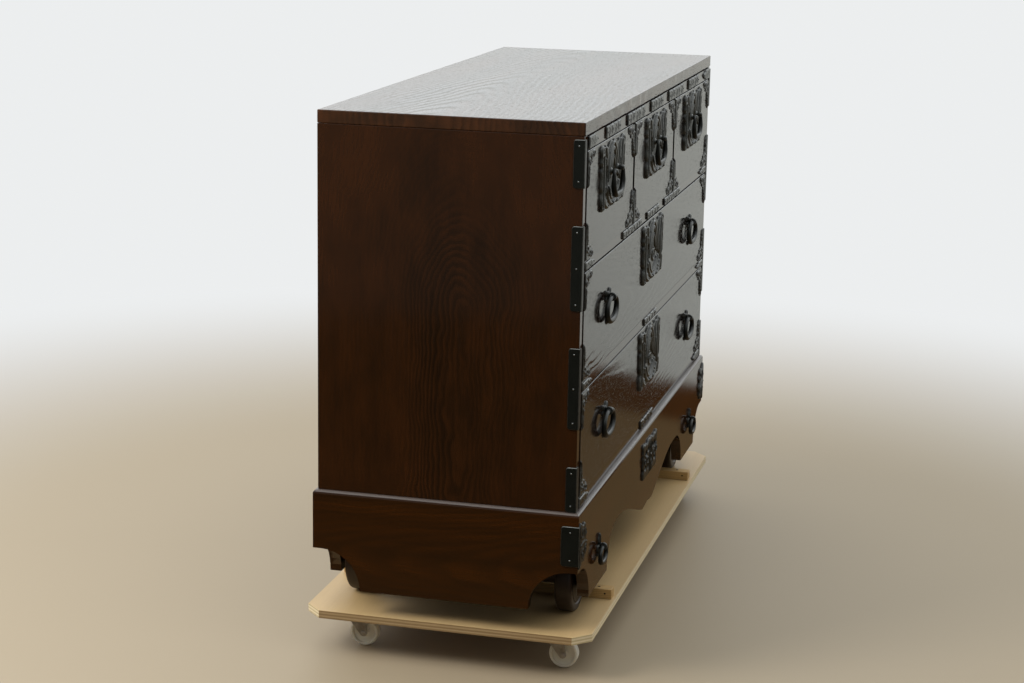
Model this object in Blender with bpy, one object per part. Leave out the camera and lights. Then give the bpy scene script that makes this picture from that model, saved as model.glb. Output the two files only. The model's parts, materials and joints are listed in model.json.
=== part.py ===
"""Wheeled tansu chest: a five-drawer carcass on a wheeled base, standing on a plywood dolly.

Metres, +Z up. The origin is on the floor under the middle of the chest, +X runs along the
drawer fronts and the drawers open towards -Y.
"""

import math

import bmesh
import bpy
from mathutils import Matrix, Vector

# Carcass
CHEST_WIDTH = 1.182
CHEST_DEPTH = 0.448
SIDE_T = 0.020
BACK_T = 0.008
TOP_T = 0.022
TOP_OVERHANG = 0.0002
TOP_RAIL_H = 0.024
TOP_RAIL_DEPTH = 0.030
SHELF_T = 0.017
BOTTOM_T = 0.0205
CARCASS_H = 0.6435
TOP_ROW_SHARE = 0.3333
MIDDLE_ROW_SHARE = 0.3370
DIVIDER_T = 0.012
DIVIDER_SETBACK = 0.002
BOARD_EDGE = 0.0006
TOP_EDGE = 0.0016
SIDE_EDGE = 0.0012

# Drawers
FRONT_T = 0.018
DRAWER_SIDE_GAP = 0.001
DRAWER_HEAD_GAP = 0.0018
DRAWER_REST_GAP = 0.0004
TRAY_DEPTH = 0.400
TRAY_WALL = 0.010
TRAY_FLOOR = 0.007
TRAY_DROP = 0.014
TRAY_SIDE_GAP = 0.0006

# Base with its shaped aprons
FOOT_CLEARANCE = 0.044
BASE_H = 0.1725
BASE_T = 0.020
BASE_LEDGE = 0.007
LEDGE_ROUND = 0.006
ARCH_R = 0.070
ARCH_STEPS = 9
CORNER_FLAT = 0.014
FOOT_LENGTH = 0.145
BRACE_FLAT = 0.030
PENDANT_HALF = 0.045
PENDANT_DROP = 0.054
PENDANT_NOTCH = 0.005
BRACE_STEPS = 8

# Wooden wheels and their axles
WHEEL_R = 0.062
WHEEL_W = 0.030
WHEEL_FROM_END = 0.141
WHEEL_INSET = 0.009
WHEEL_ROUND = 0.006
WHEEL_HUB_R = 0.024
WHEEL_HUB_PROUD = 0.004
WHEEL_SEGMENTS = 28
JOURNAL_R = 0.012
AXLE_SEGMENTS = 16
AXLE_R = 0.017
AXLE_SOCKET = 0.010
SHOULDER_GAP = 0.0006

# Dolly and its casters
DOLLY_SPARE_X = 0.004
DOLLY_SPARE_Y = 0.055
DOLLY_T = 0.014
DOLLY_CHAMFER = 0.029
BATTEN_W = 0.023
BATTEN_H = 0.018
BATTEN_WHEEL_GAP = 0.0045
BATTEN_END_GAP = 0.005
CASTER_H = 0.068
CASTER_FROM_END = 0.0765
CASTER_FROM_FRONT = 0.0735
CASTER_TRAIL = 0.015
CASTER_WHEEL_R = 0.025
CASTER_WHEEL_W = 0.019
CASTER_HUB_W = 0.0216
CASTER_PIN_R = 0.003
CASTER_SEGMENTS = 20
CASTER_PLATE_T = 0.0025
CASTER_PLATE_X = 0.044
CASTER_PLATE_Y = 0.058
FORK_T = 0.0025
FORK_HALF_TOP = 0.0168
FORK_HUB_R = 0.0065
FORK_HEAD_R = 0.0165
FORK_CROWN_T = 0.003
FORK_CROWN_GAP = 0.0045

# Iron plates and handles
PLATE_W = 0.186
PLATE_H = 0.112
PLATE_TOP_GAP = 0.006
PLATE_EDGE_T = 0.0045
PLATE_RELIEF = 0.0055
BASE_PLATE_W = 0.136
BASE_PLATE_H = 0.072
BASE_PLATE_RELIEF = 0.004
BASE_PLATE_DROP = 0.025
POST_SPACING = 0.052
POST_R = 0.0046
BAIL_DROP_FROM_ROW = 0.056
BAIL_STANDOFF = 0.0125
BAIL_DROP = 0.040
BAIL_ARM_OUTSIDE = 0.006
BAIL_ROD_R = 0.0048
BAIL_PIN_R = 0.0026
BAIL_CORNER_R = 0.022
BAIL_BEND_R = 0.0045
RING_FROM_SIDE = 0.180
RING_HALF_W = 0.037
RING_HALF_H = 0.0198
RING_ROD_R = 0.0038
RING_BELLY_R = 0.0055
RING_STANDOFF = 0.0088
RING_DROP_FROM_ROW = 0.075
RING_SQUARENESS = 2.3
RING_STEPS = 24
ROSETTE_W = 0.040
ROSETTE_H = 0.026
ROSETTE_LOBES = 8
ROSETTE_RELIEF = 0.0038
ROSETTE_EDGE_T = 0.0025
SCALLOP = 0.0035
LOBE_STEPS = 3
EYE_T = 0.005
EYE_WALL = 0.0030
EYE_PLAY = 0.0005
BASE_RING_FROM_END = 0.158
BASE_RING_HALF_W = 0.023
BASE_RING_HALF_H = 0.0138
BASE_RING_ROD_R = 0.0032
BASE_RING_BELLY_R = 0.0044
BASE_RING_DROP = 0.103
BASE_ROSETTE_W = 0.030
BASE_ROSETTE_H = 0.046

# Right half of the waved outline of the plates, from the top middle, as shares of half its size
PLAQUE_HALF = (
    (0.00, 0.95), (0.15, 1.00), (0.29, 0.93), (0.43, 0.98), (0.58, 0.91), (0.71, 0.96),
    (0.83, 0.89), (0.95, 1.00), (1.00, 0.87), (0.93, 0.71), (0.96, 0.50), (0.90, 0.30),
    (0.94, 0.09), (0.88, -0.11), (0.91, -0.32), (0.86, -0.52), (0.90, -0.77), (0.84, -0.96),
    (0.71, -0.89), (0.60, -0.98), (0.46, -0.89), (0.32, -1.00), (0.17, -0.91), (0.00, -1.00))

# Clearance between pieces that rest on one another
SEAT_GAP = 0.0003
PIN_GAP = 0.0004

# Row heights worked out from the carcass's own height
ROWS_H = CARCASS_H - BOTTOM_T - 2 * SHELF_T - TOP_RAIL_H - TOP_T
TOP_ROW_H = TOP_ROW_SHARE * ROWS_H
MIDDLE_ROW_H = MIDDLE_ROW_SHARE * ROWS_H
LOWER_ROW_H = ROWS_H - TOP_ROW_H - MIDDLE_ROW_H

# Heights worked out from the sizes above, from the floor up
DOLLY_TOP = CASTER_H + DOLLY_T
FOOT_Z = DOLLY_TOP + FOOT_CLEARANCE
BASE_TOP = FOOT_Z + BASE_H
LOWER_ROW_Z = BASE_TOP + BOTTOM_T
LOWER_SHELF_Z = LOWER_ROW_Z + LOWER_ROW_H
MIDDLE_ROW_Z = LOWER_SHELF_Z + SHELF_T
UPPER_SHELF_Z = MIDDLE_ROW_Z + MIDDLE_ROW_H
TOP_ROW_Z = UPPER_SHELF_Z + SHELF_T
TOP_RAIL_Z = TOP_ROW_Z + TOP_ROW_H
TOP_UNDER = TOP_RAIL_Z + TOP_RAIL_H
TOP_Z = TOP_UNDER + TOP_T

# Planes worked out from the sizes above
FRONT_Y = -CHEST_DEPTH / 2
BACK_Y = CHEST_DEPTH / 2
BACK_INNER_Y = BACK_Y - BACK_T
INNER_HALF = CHEST_WIDTH / 2 - SIDE_T
TOP_OPENING = (2 * INNER_HALF - 2 * DIVIDER_T) / 3
DIVIDER_X = TOP_OPENING / 2 + DIVIDER_T / 2
BASE_HALF_X = CHEST_WIDTH / 2 + BASE_LEDGE
BASE_HALF_Y = CHEST_DEPTH / 2 + BASE_LEDGE
APRON_HALF = BASE_HALF_X - BASE_T - SEAT_GAP
APRON_INNER_Y = BASE_HALF_Y - BASE_T
WHEEL_X = BASE_HALF_X - WHEEL_FROM_END
WHEEL_Y = APRON_INNER_Y - WHEEL_INSET - WHEEL_W / 2
RING_X = INNER_HALF - RING_FROM_SIDE
BASE_RING_X = BASE_HALF_X - BASE_RING_FROM_END
DOLLY_LENGTH = CHEST_WIDTH + DOLLY_SPARE_X
DOLLY_DEPTH = CHEST_DEPTH + DOLLY_SPARE_Y
BATTEN_X = WHEEL_X - WHEEL_R - BATTEN_WHEEL_GAP - BATTEN_W / 2
CASTER_X = DOLLY_LENGTH / 2 - CASTER_FROM_END
CASTER_Y = DOLLY_DEPTH / 2 - CASTER_FROM_FRONT
AXLE_Z = DOLLY_TOP + SEAT_GAP + WHEEL_R
FORK_INNER = CASTER_HUB_W / 2 + PIN_GAP
FORK_CROWN_Z = 2 * CASTER_WHEEL_R + FORK_CROWN_GAP

LACQUER = ((0.085, 0.030, 0.016), 0.22, 0.0)
BASE_LACQUER = ((0.075, 0.022, 0.013), 0.25, 0.0)
PALE_WOOD = ((0.52, 0.37, 0.22), 0.60, 0.0)
WHEEL_WOOD = ((0.035, 0.018, 0.012), 0.45, 0.0)
IRON = ((0.022, 0.024, 0.022), 0.42, 0.9)
PLYWOOD = ((0.62, 0.47, 0.31), 0.62, 0.0)
ZINC = ((0.60, 0.60, 0.58), 0.35, 1.0)
NYLON = ((0.72, 0.72, 0.68), 0.40, 0.0)


def clear_scene():
    """Start from an empty scene."""
    for stale in list(bpy.data.objects):
        bpy.data.objects.remove(stale, do_unlink=True)


def finish_mesh(bm, name):
    """Turn a bmesh into a mesh whose faces all point outwards."""
    bmesh.ops.recalc_face_normals(bm, faces=bm.faces[:])
    mesh = bpy.data.meshes.new(name)
    bm.to_mesh(mesh)
    bm.free()
    return mesh


def make_material(name, finish):
    """A Principled material with the piece's colour, roughness and metal value."""
    colour, roughness, metallic = finish
    material = bpy.data.materials.new(name)
    material.use_nodes = True
    shader = material.node_tree.nodes["Principled BSDF"]
    shader.inputs["Base Color"].default_value = (*colour, 1.0)
    shader.inputs["Roughness"].default_value = roughness
    shader.inputs["Metallic"].default_value = metallic
    return material


def add_piece(name, mesh, finish, location=(0, 0, 0), parent=None, smooth=False):
    """Put one named piece in the scene, at a world place, under an optional empty."""
    piece = bpy.data.objects.new(name, mesh)
    bpy.context.scene.collection.objects.link(piece)
    piece.parent = parent
    start = parent.location if parent else Vector((0, 0, 0))
    piece.location = Vector(location) - start
    mesh.materials.clear()
    mesh.materials.append(make_material(name, finish))
    if smooth:
        mesh.shade_smooth()
        mesh.set_sharp_from_angle(angle=math.radians(35))
    return piece


def add_axis(name, location):
    """An empty that marks where a moving group is carried."""
    axis = bpy.data.objects.new(name, None)
    bpy.context.scene.collection.objects.link(axis)
    axis.location = location
    return axis


def box_mesh(low, high, name="box"):
    """A box between two corners."""
    low, high = Vector(low), Vector(high)
    centre = Matrix.Translation((low + high) / 2)
    size = Matrix.Diagonal((*(high - low), 1.0))
    bm = bmesh.new()
    bmesh.ops.create_cube(bm, size=1.0, matrix=centre @ size)
    return finish_mesh(bm, name)


def prism_bmesh(outline, start, end, place):
    """Extrude a closed 2-D outline between two depths; place(u, v, depth) gives the 3-D point."""
    bm = bmesh.new()
    face = bm.faces.new([bm.verts.new(place(u, v, start)) for u, v in outline])
    made = bmesh.ops.extrude_face_region(bm, geom=[face])
    moved = [item for item in made["geom"] if isinstance(item, bmesh.types.BMVert)]
    shift = Vector(place(0, 0, end)) - Vector(place(0, 0, start))
    bmesh.ops.translate(bm, verts=moved, vec=shift)
    return bm


def along_x(u, v, depth):
    """Outline in the YZ plane, depth along X."""
    return (depth, u, v)


def along_y(u, v, depth):
    """Outline in the XZ plane, depth along Y."""
    return (u, depth, v)


def along_z(u, v, depth):
    """Outline in the XY plane, depth along Z."""
    return (u, v, depth)


def turned_mesh(profile, segments, name="turned", closed=False):
    """Spin a profile of (radius, height) points round Z; a closed profile leaves a bore."""
    bm = bmesh.new()
    verts = [bm.verts.new((radius, 0, height)) for radius, height in profile]
    edges = [bm.edges.new(pair) for pair in zip(verts, verts[1:])]
    if closed:
        edges.append(bm.edges.new((verts[-1], verts[0])))
    bmesh.ops.spin(bm, geom=verts + edges, axis=(0, 0, 1), cent=(0, 0, 0), steps=segments,
                   angle=math.tau, use_merge=True)
    bmesh.ops.remove_doubles(bm, verts=bm.verts[:], dist=1e-6)
    return finish_mesh(bm, name)


def rod_mesh(radius, low, high, segments, name="rod"):
    """A plain round rod along Z."""
    return turned_mesh([(0, low), (radius, low), (radius, high), (0, high)], segments, name)


def turn_to_x(mesh):
    """Lay a mesh that was made along Z along X."""
    mesh.transform(Matrix.Rotation(math.pi / 2, 4, "Y"))
    return mesh


def turn_to_y(mesh):
    """Lay a mesh that was made along Z along Y."""
    mesh.transform(Matrix.Rotation(math.pi / 2, 4, "X"))
    return mesh


def shifted(mesh, offset):
    """Move a mesh's points."""
    mesh.transform(Matrix.Translation(offset))
    return mesh


def combine(base, others, operation):
    """Join meshes to a base mesh, or cut them from it, into one closed mesh."""
    body = bpy.data.objects.new("body", base)
    bpy.context.scene.collection.objects.link(body)
    tools = []
    for mesh in others:
        tool = bpy.data.objects.new("tool", mesh)
        bpy.context.scene.collection.objects.link(tool)
        tool.hide_render = True
        tool.display_type = "WIRE"
        modifier = body.modifiers.new("combine", "BOOLEAN")
        modifier.operation = operation
        modifier.solver = "EXACT"
        modifier.object = tool
        tools.append(tool)
    result = body.evaluated_get(bpy.context.evaluated_depsgraph_get())
    mesh = bpy.data.meshes.new_from_object(result)
    for item in [body, *tools]:
        bpy.data.objects.remove(item, do_unlink=True)
    return mesh


def arc(centre, radius, start, end, steps):
    """Points along an arc, with angles in degrees."""
    points = []
    for step in range(steps + 1):
        angle = math.radians(start + (end - start) * step / steps)
        points.append((centre[0] + radius * math.cos(angle), centre[1] + radius * math.sin(angle)))
    return points


def add_board(name, low, high, finish, edge=BOARD_EDGE, segments=1):
    """A straight board with softened edges."""
    low, high = Vector(low), Vector(high)
    centre = (low + high) / 2
    board = add_piece(name, box_mesh(low - centre, high - centre, name), finish, centre)
    bevel = board.modifiers.new("edge", "BEVEL")
    bevel.width = edge
    bevel.segments = segments
    return board


def build_carcass():
    """The box of the chest: top, sides, back, bottom, shelves, rail and dividers."""
    half = CHEST_WIDTH / 2
    inner = INNER_HALF - SEAT_GAP
    shelf_back = BACK_INNER_Y - SEAT_GAP
    top_x = half + TOP_OVERHANG
    top_y = CHEST_DEPTH / 2 + TOP_OVERHANG
    add_board("top_board", (-top_x, -top_y, TOP_UNDER), (top_x, top_y, TOP_Z), LACQUER, TOP_EDGE, 2)
    side_low, side_high = BASE_TOP + SEAT_GAP, TOP_UNDER - SEAT_GAP
    add_board("left_side", (-half, FRONT_Y, side_low), (-INNER_HALF, BACK_Y, side_high), LACQUER, SIDE_EDGE)
    add_board("right_side", (INNER_HALF, FRONT_Y, side_low), (half, BACK_Y, side_high), LACQUER, SIDE_EDGE)
    add_board("back_panel", (-inner, BACK_INNER_Y, side_low), (inner, BACK_Y, side_high), LACQUER)
    add_board("bottom_board", (-inner, FRONT_Y, side_low), (inner, shelf_back, LOWER_ROW_Z), LACQUER)
    for name, height in (("lower_shelf", LOWER_SHELF_Z), ("upper_shelf", UPPER_SHELF_Z)):
        add_board(name, (-inner, FRONT_Y, height), (inner, shelf_back, height + SHELF_T), LACQUER)
    rail_back = FRONT_Y + TOP_RAIL_DEPTH
    add_board("top_rail", (-inner, FRONT_Y, TOP_RAIL_Z), (inner, rail_back, side_high), LACQUER)
    build_dividers(rail_back + SEAT_GAP, shelf_back, side_high)


def build_dividers(rail_back, shelf_back, top):
    """Two upright boards between the top drawers, notched round the top rail."""
    low = TOP_ROW_Z + SEAT_GAP
    front = FRONT_Y + DIVIDER_SETBACK
    under_rail = TOP_RAIL_Z - SEAT_GAP
    outline = [(front, low), (shelf_back, low), (shelf_back, top), (rail_back, top),
               (rail_back, under_rail), (front, under_rail)]
    for name, side in (("left_divider", -1), ("right_divider", 1)):
        bm = prism_bmesh(outline, -DIVIDER_T / 2, DIVIDER_T / 2, along_x)
        add_piece(name, finish_mesh(bm, name), LACQUER, (side * DIVIDER_X, 0, 0))


def apron_half_outline():
    """Lower edge of an apron from its middle to its end: pendant, brace curve, foot, corner arch."""
    arch_top = FOOT_Z + ARCH_R
    pendant_z = arch_top - PENDANT_DROP
    foot_outer = APRON_HALF - ARCH_R
    foot_inner = foot_outer - FOOT_LENGTH
    brace_end = foot_inner - ARCH_R - BRACE_FLAT
    points = [(0.0, pendant_z + PENDANT_NOTCH), (PENDANT_HALF / 2, pendant_z + PENDANT_NOTCH / 4)]
    for step in range(BRACE_STEPS + 1):
        share = step / BRACE_STEPS
        rise = PENDANT_DROP * share * (1 + share - share * share)
        points.append((PENDANT_HALF + (brace_end - PENDANT_HALF) * share, pendant_z + rise))
    points += arc((foot_inner - ARCH_R, FOOT_Z), ARCH_R, 90, 0, ARCH_STEPS)
    points += arc((APRON_HALF, FOOT_Z), ARCH_R, 180, 90, ARCH_STEPS)
    return points


def round_ledge(bm, chosen):
    """Round the chosen top edges of a base board."""
    edges = [edge for edge in bm.edges if chosen((edge.verts[0].co + edge.verts[1].co) / 2, edge)]
    bmesh.ops.bevel(bm, geom=edges, offset=LEDGE_ROUND, segments=3, profile=0.5, affect="EDGES",
                    clamp_overlap=True)


def on_level(edge, height):
    """Whether both ends of an edge lie at one height."""
    return all(abs(vert.co.z - height) < 1e-6 for vert in edge.verts)


def build_aprons():
    """Front and back base boards, cut to the shaped outline, with blind sockets for the axles."""
    half = apron_half_outline()
    top = [(APRON_HALF, BASE_TOP), (-APRON_HALF, BASE_TOP)]
    outline = half + top + [(-x, z) for x, z in reversed(half[1:])]
    socket_r = JOURNAL_R + SEAT_GAP
    for name, side in (("base_front_apron", -1), ("base_back_apron", 1)):
        outer = side * BASE_HALF_Y
        bm = prism_bmesh(outline, outer, side * APRON_INNER_Y, along_y)
        round_ledge(bm, lambda middle, edge: on_level(edge, BASE_TOP) and abs(middle.y - outer) < 1e-6)
        sockets = []
        for x in (-WHEEL_X, WHEEL_X):
            rod = turn_to_y(rod_mesh(socket_r, -AXLE_SOCKET, AXLE_SOCKET, AXLE_SEGMENTS))
            sockets.append(shifted(rod, (x, side * APRON_INNER_Y, AXLE_Z)))
        add_piece(name, combine(finish_mesh(bm, name), sockets, "DIFFERENCE"), BASE_LACQUER)


def build_base_sides():
    """End boards of the base, with a quarter arch cut at each lower corner."""
    corner = BASE_HALF_Y - CORNER_FLAT
    arch_top = FOOT_Z + ARCH_R
    right = arc((corner, FOOT_Z), ARCH_R, 180, 90, ARCH_STEPS) + [(BASE_HALF_Y, arch_top)]
    outline = right + [(BASE_HALF_Y, BASE_TOP), (-BASE_HALF_Y, BASE_TOP)]
    outline += [(-y, z) for y, z in reversed(right)]
    for name, side in (("base_left_panel", -1), ("base_right_panel", 1)):
        outer = side * BASE_HALF_X
        bm = prism_bmesh(outline, outer, side * (BASE_HALF_X - BASE_T), along_x)
        inner = side * (BASE_HALF_X - BASE_T)
        round_ledge(bm, lambda middle, edge: on_level(edge, BASE_TOP) and abs(middle.x - inner) > 1e-6)
        add_piece(name, finish_mesh(bm, name), BASE_LACQUER)


def wheel_profile():
    """Closed (radius, height) section of a turned wooden wheel, height along its axle."""
    half = WHEEL_W / 2
    hub = half + WHEEL_HUB_PROUD
    bore = JOURNAL_R + PIN_GAP
    shoulder = WHEEL_R - WHEEL_ROUND
    return [(bore, -half), (shoulder, -half), (WHEEL_R - WHEEL_ROUND * 0.3, -half + WHEEL_ROUND * 0.3),
            (WHEEL_R, -half + WHEEL_ROUND), (WHEEL_R, half - WHEEL_ROUND),
            (WHEEL_R - WHEEL_ROUND * 0.3, half - WHEEL_ROUND * 0.3), (shoulder, half),
            (WHEEL_HUB_R, half), (WHEEL_HUB_R - WHEEL_HUB_PROUD / 2, hub), (bore, hub)]


def build_wheels():
    """Four turned wheels on two stepped axles whose ends sit in the aprons."""
    end = APRON_INNER_Y + AXLE_SOCKET - SEAT_GAP
    step = WHEEL_Y - WHEEL_W / 2 - SHOULDER_GAP
    section = [(0, -end), (JOURNAL_R, -end), (JOURNAL_R, -step), (AXLE_R, -step), (AXLE_R, step),
               (JOURNAL_R, step), (JOURNAL_R, end), (0, end)]
    for name, x in (("left", -WHEEL_X), ("right", WHEEL_X)):
        axle = turn_to_y(turned_mesh(section, AXLE_SEGMENTS, name + "_axle"))
        add_piece(name + "_axle", axle, WHEEL_WOOD, (x, 0, AXLE_Z), smooth=True)
        for place, side in (("front", -1), ("back", 1)):
            node = f"wooden_wheel_{place}_{name}"
            wheel = turned_mesh(wheel_profile(), WHEEL_SEGMENTS, node, closed=True)
            wheel.transform(Matrix.Rotation(-side * math.pi / 2, 4, "X"))
            add_piece(node, wheel, WHEEL_WOOD, (x, side * WHEEL_Y, AXLE_Z), smooth=True)


def lobed_outline(width, height, lobes):
    """An oval outline with scalloped lobes, starting at the top middle, as (x, z) points."""
    fine, near = 720, 2
    raw = []
    for step in range(fine):
        angle = math.tau * step / fine
        raw.append(Vector((math.sin(angle) * (width / 2 - SCALLOP), math.cos(angle) * (height / 2 - SCALLOP))))
    lengths = [0.0]
    for step in range(fine):
        lengths.append(lengths[-1] + (raw[(step + 1) % fine] - raw[step]).length)
    points = []
    at = 0
    for count in range(lobes * LOBE_STEPS):
        share = count / (lobes * LOBE_STEPS)
        while lengths[at + 1] < share * lengths[-1]:
            at += 1
        along = raw[(at + near) % fine] - raw[(at - near) % fine]
        outward = Vector((-along.y, along.x)).normalized()
        swell = SCALLOP * abs(math.sin(math.pi * (lobes * share + 0.5)))
        points.append(raw[at] + outward * swell)
    return points


def embossed_bmesh(outline, rings):
    """A plate whose outline shrinks and rises ring by ring towards -Y; its back is flat at y = 0."""
    bm = bmesh.new()
    loops = []
    for scale, rise in rings:
        loops.append([bm.verts.new((point.x * scale, -rise, point.y * scale)) for point in outline])
    count = len(outline)
    for lower, upper in zip(loops, loops[1:]):
        for step in range(count):
            after = (step + 1) % count
            bm.faces.new((lower[step], lower[after], upper[after], upper[step]))
    bm.faces.new(loops[0])
    bm.faces.new(loops[-1])
    return bm


def plaque_outline(width, height):
    """The waved outline of a plate, as (x, z) points."""
    half = [Vector((x * width / 2, z * height / 2)) for x, z in PLAQUE_HALF]
    return half + [Vector((-point.x, point.y)) for point in reversed(half[1:-1])]


def plate_mesh(name, width, height, relief):
    """A cut iron plate with a thin rim, a sunk field and a raised middle."""
    rings = [(1.0, 0.0), (0.985, PLATE_EDGE_T), (0.93, PLATE_EDGE_T), (0.88, PLATE_EDGE_T * 0.6),
             (0.70, relief * 0.85), (0.40, relief)]
    return finish_mesh(embossed_bmesh(plaque_outline(width, height), rings), name)


def eye_mesh(rod_r, standoff, name="eye"):
    """A flat lug that stands out from a rosette, with a round hole for the ring."""
    hole = rod_r + EYE_PLAY
    outer = hole + EYE_WALL
    root = -ROSETTE_EDGE_T / 2
    outline = arc((-standoff, 0), outer, 90, 270, 8) + [(root, -outer), (root, outer)]
    lug = finish_mesh(prism_bmesh(outline, -EYE_T / 2, EYE_T / 2, along_x), name)
    bore = shifted(turn_to_x(rod_mesh(hole, -EYE_T, EYE_T, 12)), (0, -standoff, 0))
    return combine(lug, [bore], "DIFFERENCE")


def rosette_mesh(name, width, height, rod_r):
    """A petalled rosette with its ring eye, made round the eye's height."""
    rings = [(1.0, 0.0), (0.97, ROSETTE_EDGE_T * 0.8), (0.80, ROSETTE_EDGE_T), (0.45, ROSETTE_RELIEF)]
    outline = lobed_outline(width, height, ROSETTE_LOBES)
    flat = finish_mesh(embossed_bmesh(outline, rings), name)
    return combine(flat, [eye_mesh(rod_r, RING_STANDOFF)], "UNION")


def swept_mesh(name, route, radii, closed):
    """A round bar swept along (x, z) points, with its own radius at each one."""
    curve = bpy.data.curves.new(name, "CURVE")
    curve.dimensions = "3D"
    curve.bevel_depth = 1.0
    curve.bevel_resolution = 2
    curve.use_fill_caps = not closed
    spline = curve.splines.new("POLY")
    spline.points.add(len(route) - 1)
    spline.use_cyclic_u = closed
    for point, (x, z), radius in zip(spline.points, route, radii):
        point.co = (x, 0, z, 1)
        point.radius = radius
    sweep = bpy.data.objects.new("sweep", curve)
    bpy.context.scene.collection.objects.link(sweep)
    result = sweep.evaluated_get(bpy.context.evaluated_depsgraph_get())
    mesh = bpy.data.meshes.new_from_object(result)
    bpy.data.objects.remove(sweep, do_unlink=True)
    return mesh


def ring_mesh(name, half_w, half_h, rod_r, belly_r):
    """A wide oval ring, fuller at its foot; the origin is where its top passes the eye."""
    route, radii = [], []
    for step in range(RING_STEPS):
        angle = math.tau * step / RING_STEPS
        across, up = math.sin(angle), math.cos(angle)
        x = math.copysign(abs(across) ** (2 / RING_SQUARENESS), across) * half_w
        z = math.copysign(abs(up) ** (2 / RING_SQUARENESS), up) * half_h - half_h
        route.append((x, z))
        radii.append(rod_r + (belly_r - rod_r) * -z / (2 * half_h))
    return swept_mesh(name, route, radii, True)


def bail_mesh(name):
    """A round bail whose ends turn inwards through two posts; the origin is on the pin line."""
    arm = POST_SPACING / 2 + POST_R + BAIL_ARM_OUTSIDE
    pin = POST_SPACING / 2 - POST_R
    low = -BAIL_DROP
    half = [(pin, 0.0), (arm - BAIL_BEND_R, 0.0)]
    half += arc((arm - BAIL_BEND_R, -BAIL_BEND_R), BAIL_BEND_R, 50, 0, 2)
    half += arc((arm - BAIL_CORNER_R, low + BAIL_CORNER_R), BAIL_CORNER_R, 0, -90, 5)
    half.append((0.0, low))
    route = half + [(-x, z) for x, z in reversed(half[:-1])]
    radii = [BAIL_PIN_R + (BAIL_ROD_R - BAIL_PIN_R) * min(1.0, -z / BAIL_CORNER_R) for _, z in route]
    return swept_mesh(name, route, radii, False)


def handle_plate_mesh(name, bail_z):
    """An embossed plate with two posts that carry the bail at a height above the plate's middle."""
    plate = plate_mesh(name, PLATE_W, PLATE_H, PLATE_RELIEF)
    tools = []
    bores = []
    reach = BAIL_STANDOFF + POST_R
    profile = [(0, PLATE_EDGE_T / 2), (POST_R * 0.8, PLATE_EDGE_T / 2), (POST_R * 0.8, BAIL_STANDOFF - POST_R),
               (POST_R, BAIL_STANDOFF - POST_R * 0.4), (POST_R, BAIL_STANDOFF + POST_R * 0.4),
               (POST_R * 0.6, reach), (0, reach)]
    for side in (-1, 1):
        x = side * POST_SPACING / 2
        tools.append(shifted(turn_to_y(turned_mesh(profile, 10)), (x, 0, bail_z)))
        bore = turn_to_x(rod_mesh(BAIL_PIN_R + PIN_GAP, -2 * POST_R, 2 * POST_R, 10))
        bores.append(shifted(bore, (x, -BAIL_STANDOFF, bail_z)))
    return combine(combine(plate, tools, "UNION"), bores, "DIFFERENCE")


def tray_mesh(width, height, name):
    """A drawer's sides, back and floor, open at the top and at the front, from its front lower middle."""
    outer = box_mesh((-width / 2, 0, 0), (width / 2, TRAY_DEPTH, height), name)
    inside = box_mesh((-width / 2 + TRAY_WALL, -TRAY_WALL, TRAY_FLOOR),
                      (width / 2 - TRAY_WALL, TRAY_DEPTH - TRAY_WALL, height + TRAY_WALL))
    return combine(outer, [inside], "DIFFERENCE")


def build_drawer(name, x, row_z, row_h, opening):
    """A lacquered front and its tray, carried on an empty that marks the slide."""
    axis = add_axis("drawer_" + name + "_slide", (x, FRONT_Y, row_z + row_h / 2))
    half_w = opening / 2 - DRAWER_SIDE_GAP
    low, high = DRAWER_REST_GAP - row_h / 2, row_h / 2 - DRAWER_HEAD_GAP
    front = add_board(f"drawer_{name}_front", (-half_w, 0, low), (half_w, FRONT_T, high), LACQUER)
    front.parent = axis
    tray_w = opening - 2 * TRAY_SIDE_GAP
    tray = tray_mesh(tray_w, row_h - TRAY_DROP, f"drawer_{name}_tray")
    behind = FRONT_Y + FRONT_T + SEAT_GAP
    add_piece(f"drawer_{name}_tray", tray, PALE_WOOD, (x, behind, row_z + SEAT_GAP), parent=axis)
    return axis


def build_drawers():
    """Three top drawers with bails, and two full-width drawers with lock plates and rings."""
    face_y = FRONT_Y - SEAT_GAP
    pitch = TOP_OPENING + DIVIDER_T
    plate_z = TOP_ROW_Z + TOP_ROW_H - PLATE_TOP_GAP - PLATE_H / 2
    bail_z = TOP_ROW_Z + TOP_ROW_H - BAIL_DROP_FROM_ROW
    for name, x in (("top_left", -pitch), ("top_middle", 0.0), ("top_right", pitch)):
        axis = build_drawer(name, x, TOP_ROW_Z, TOP_ROW_H, TOP_OPENING)
        node = f"drawer_{name}_plate"
        add_piece(node, handle_plate_mesh(node, bail_z - plate_z), IRON, (x, face_y, plate_z), parent=axis)
        node = f"drawer_{name}_bail"
        bail_y = face_y - BAIL_STANDOFF
        add_piece(node, bail_mesh(node), IRON, (x, bail_y, bail_z), parent=axis, smooth=True)
    for name, row_z, row_h in (("middle", MIDDLE_ROW_Z, MIDDLE_ROW_H), ("lower", LOWER_ROW_Z, LOWER_ROW_H)):
        axis = build_drawer(name, 0.0, row_z, row_h, 2 * INNER_HALF)
        node = f"drawer_{name}_lock_plate"
        plate = plate_mesh(node, PLATE_W, PLATE_H, PLATE_RELIEF)
        plate_z = row_z + row_h - PLATE_TOP_GAP - PLATE_H / 2
        add_piece(node, plate, IRON, (0, face_y, plate_z), parent=axis)
        for place, x in (("left", -RING_X), ("right", RING_X)):
            eye_z = row_z + row_h - RING_DROP_FROM_ROW
            add_ring_handle(f"drawer_{name}_{place}", (x, face_y, eye_z), (ROSETTE_W, ROSETTE_H),
                            (RING_HALF_W, RING_HALF_H, RING_ROD_R, RING_BELLY_R), axis)


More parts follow.
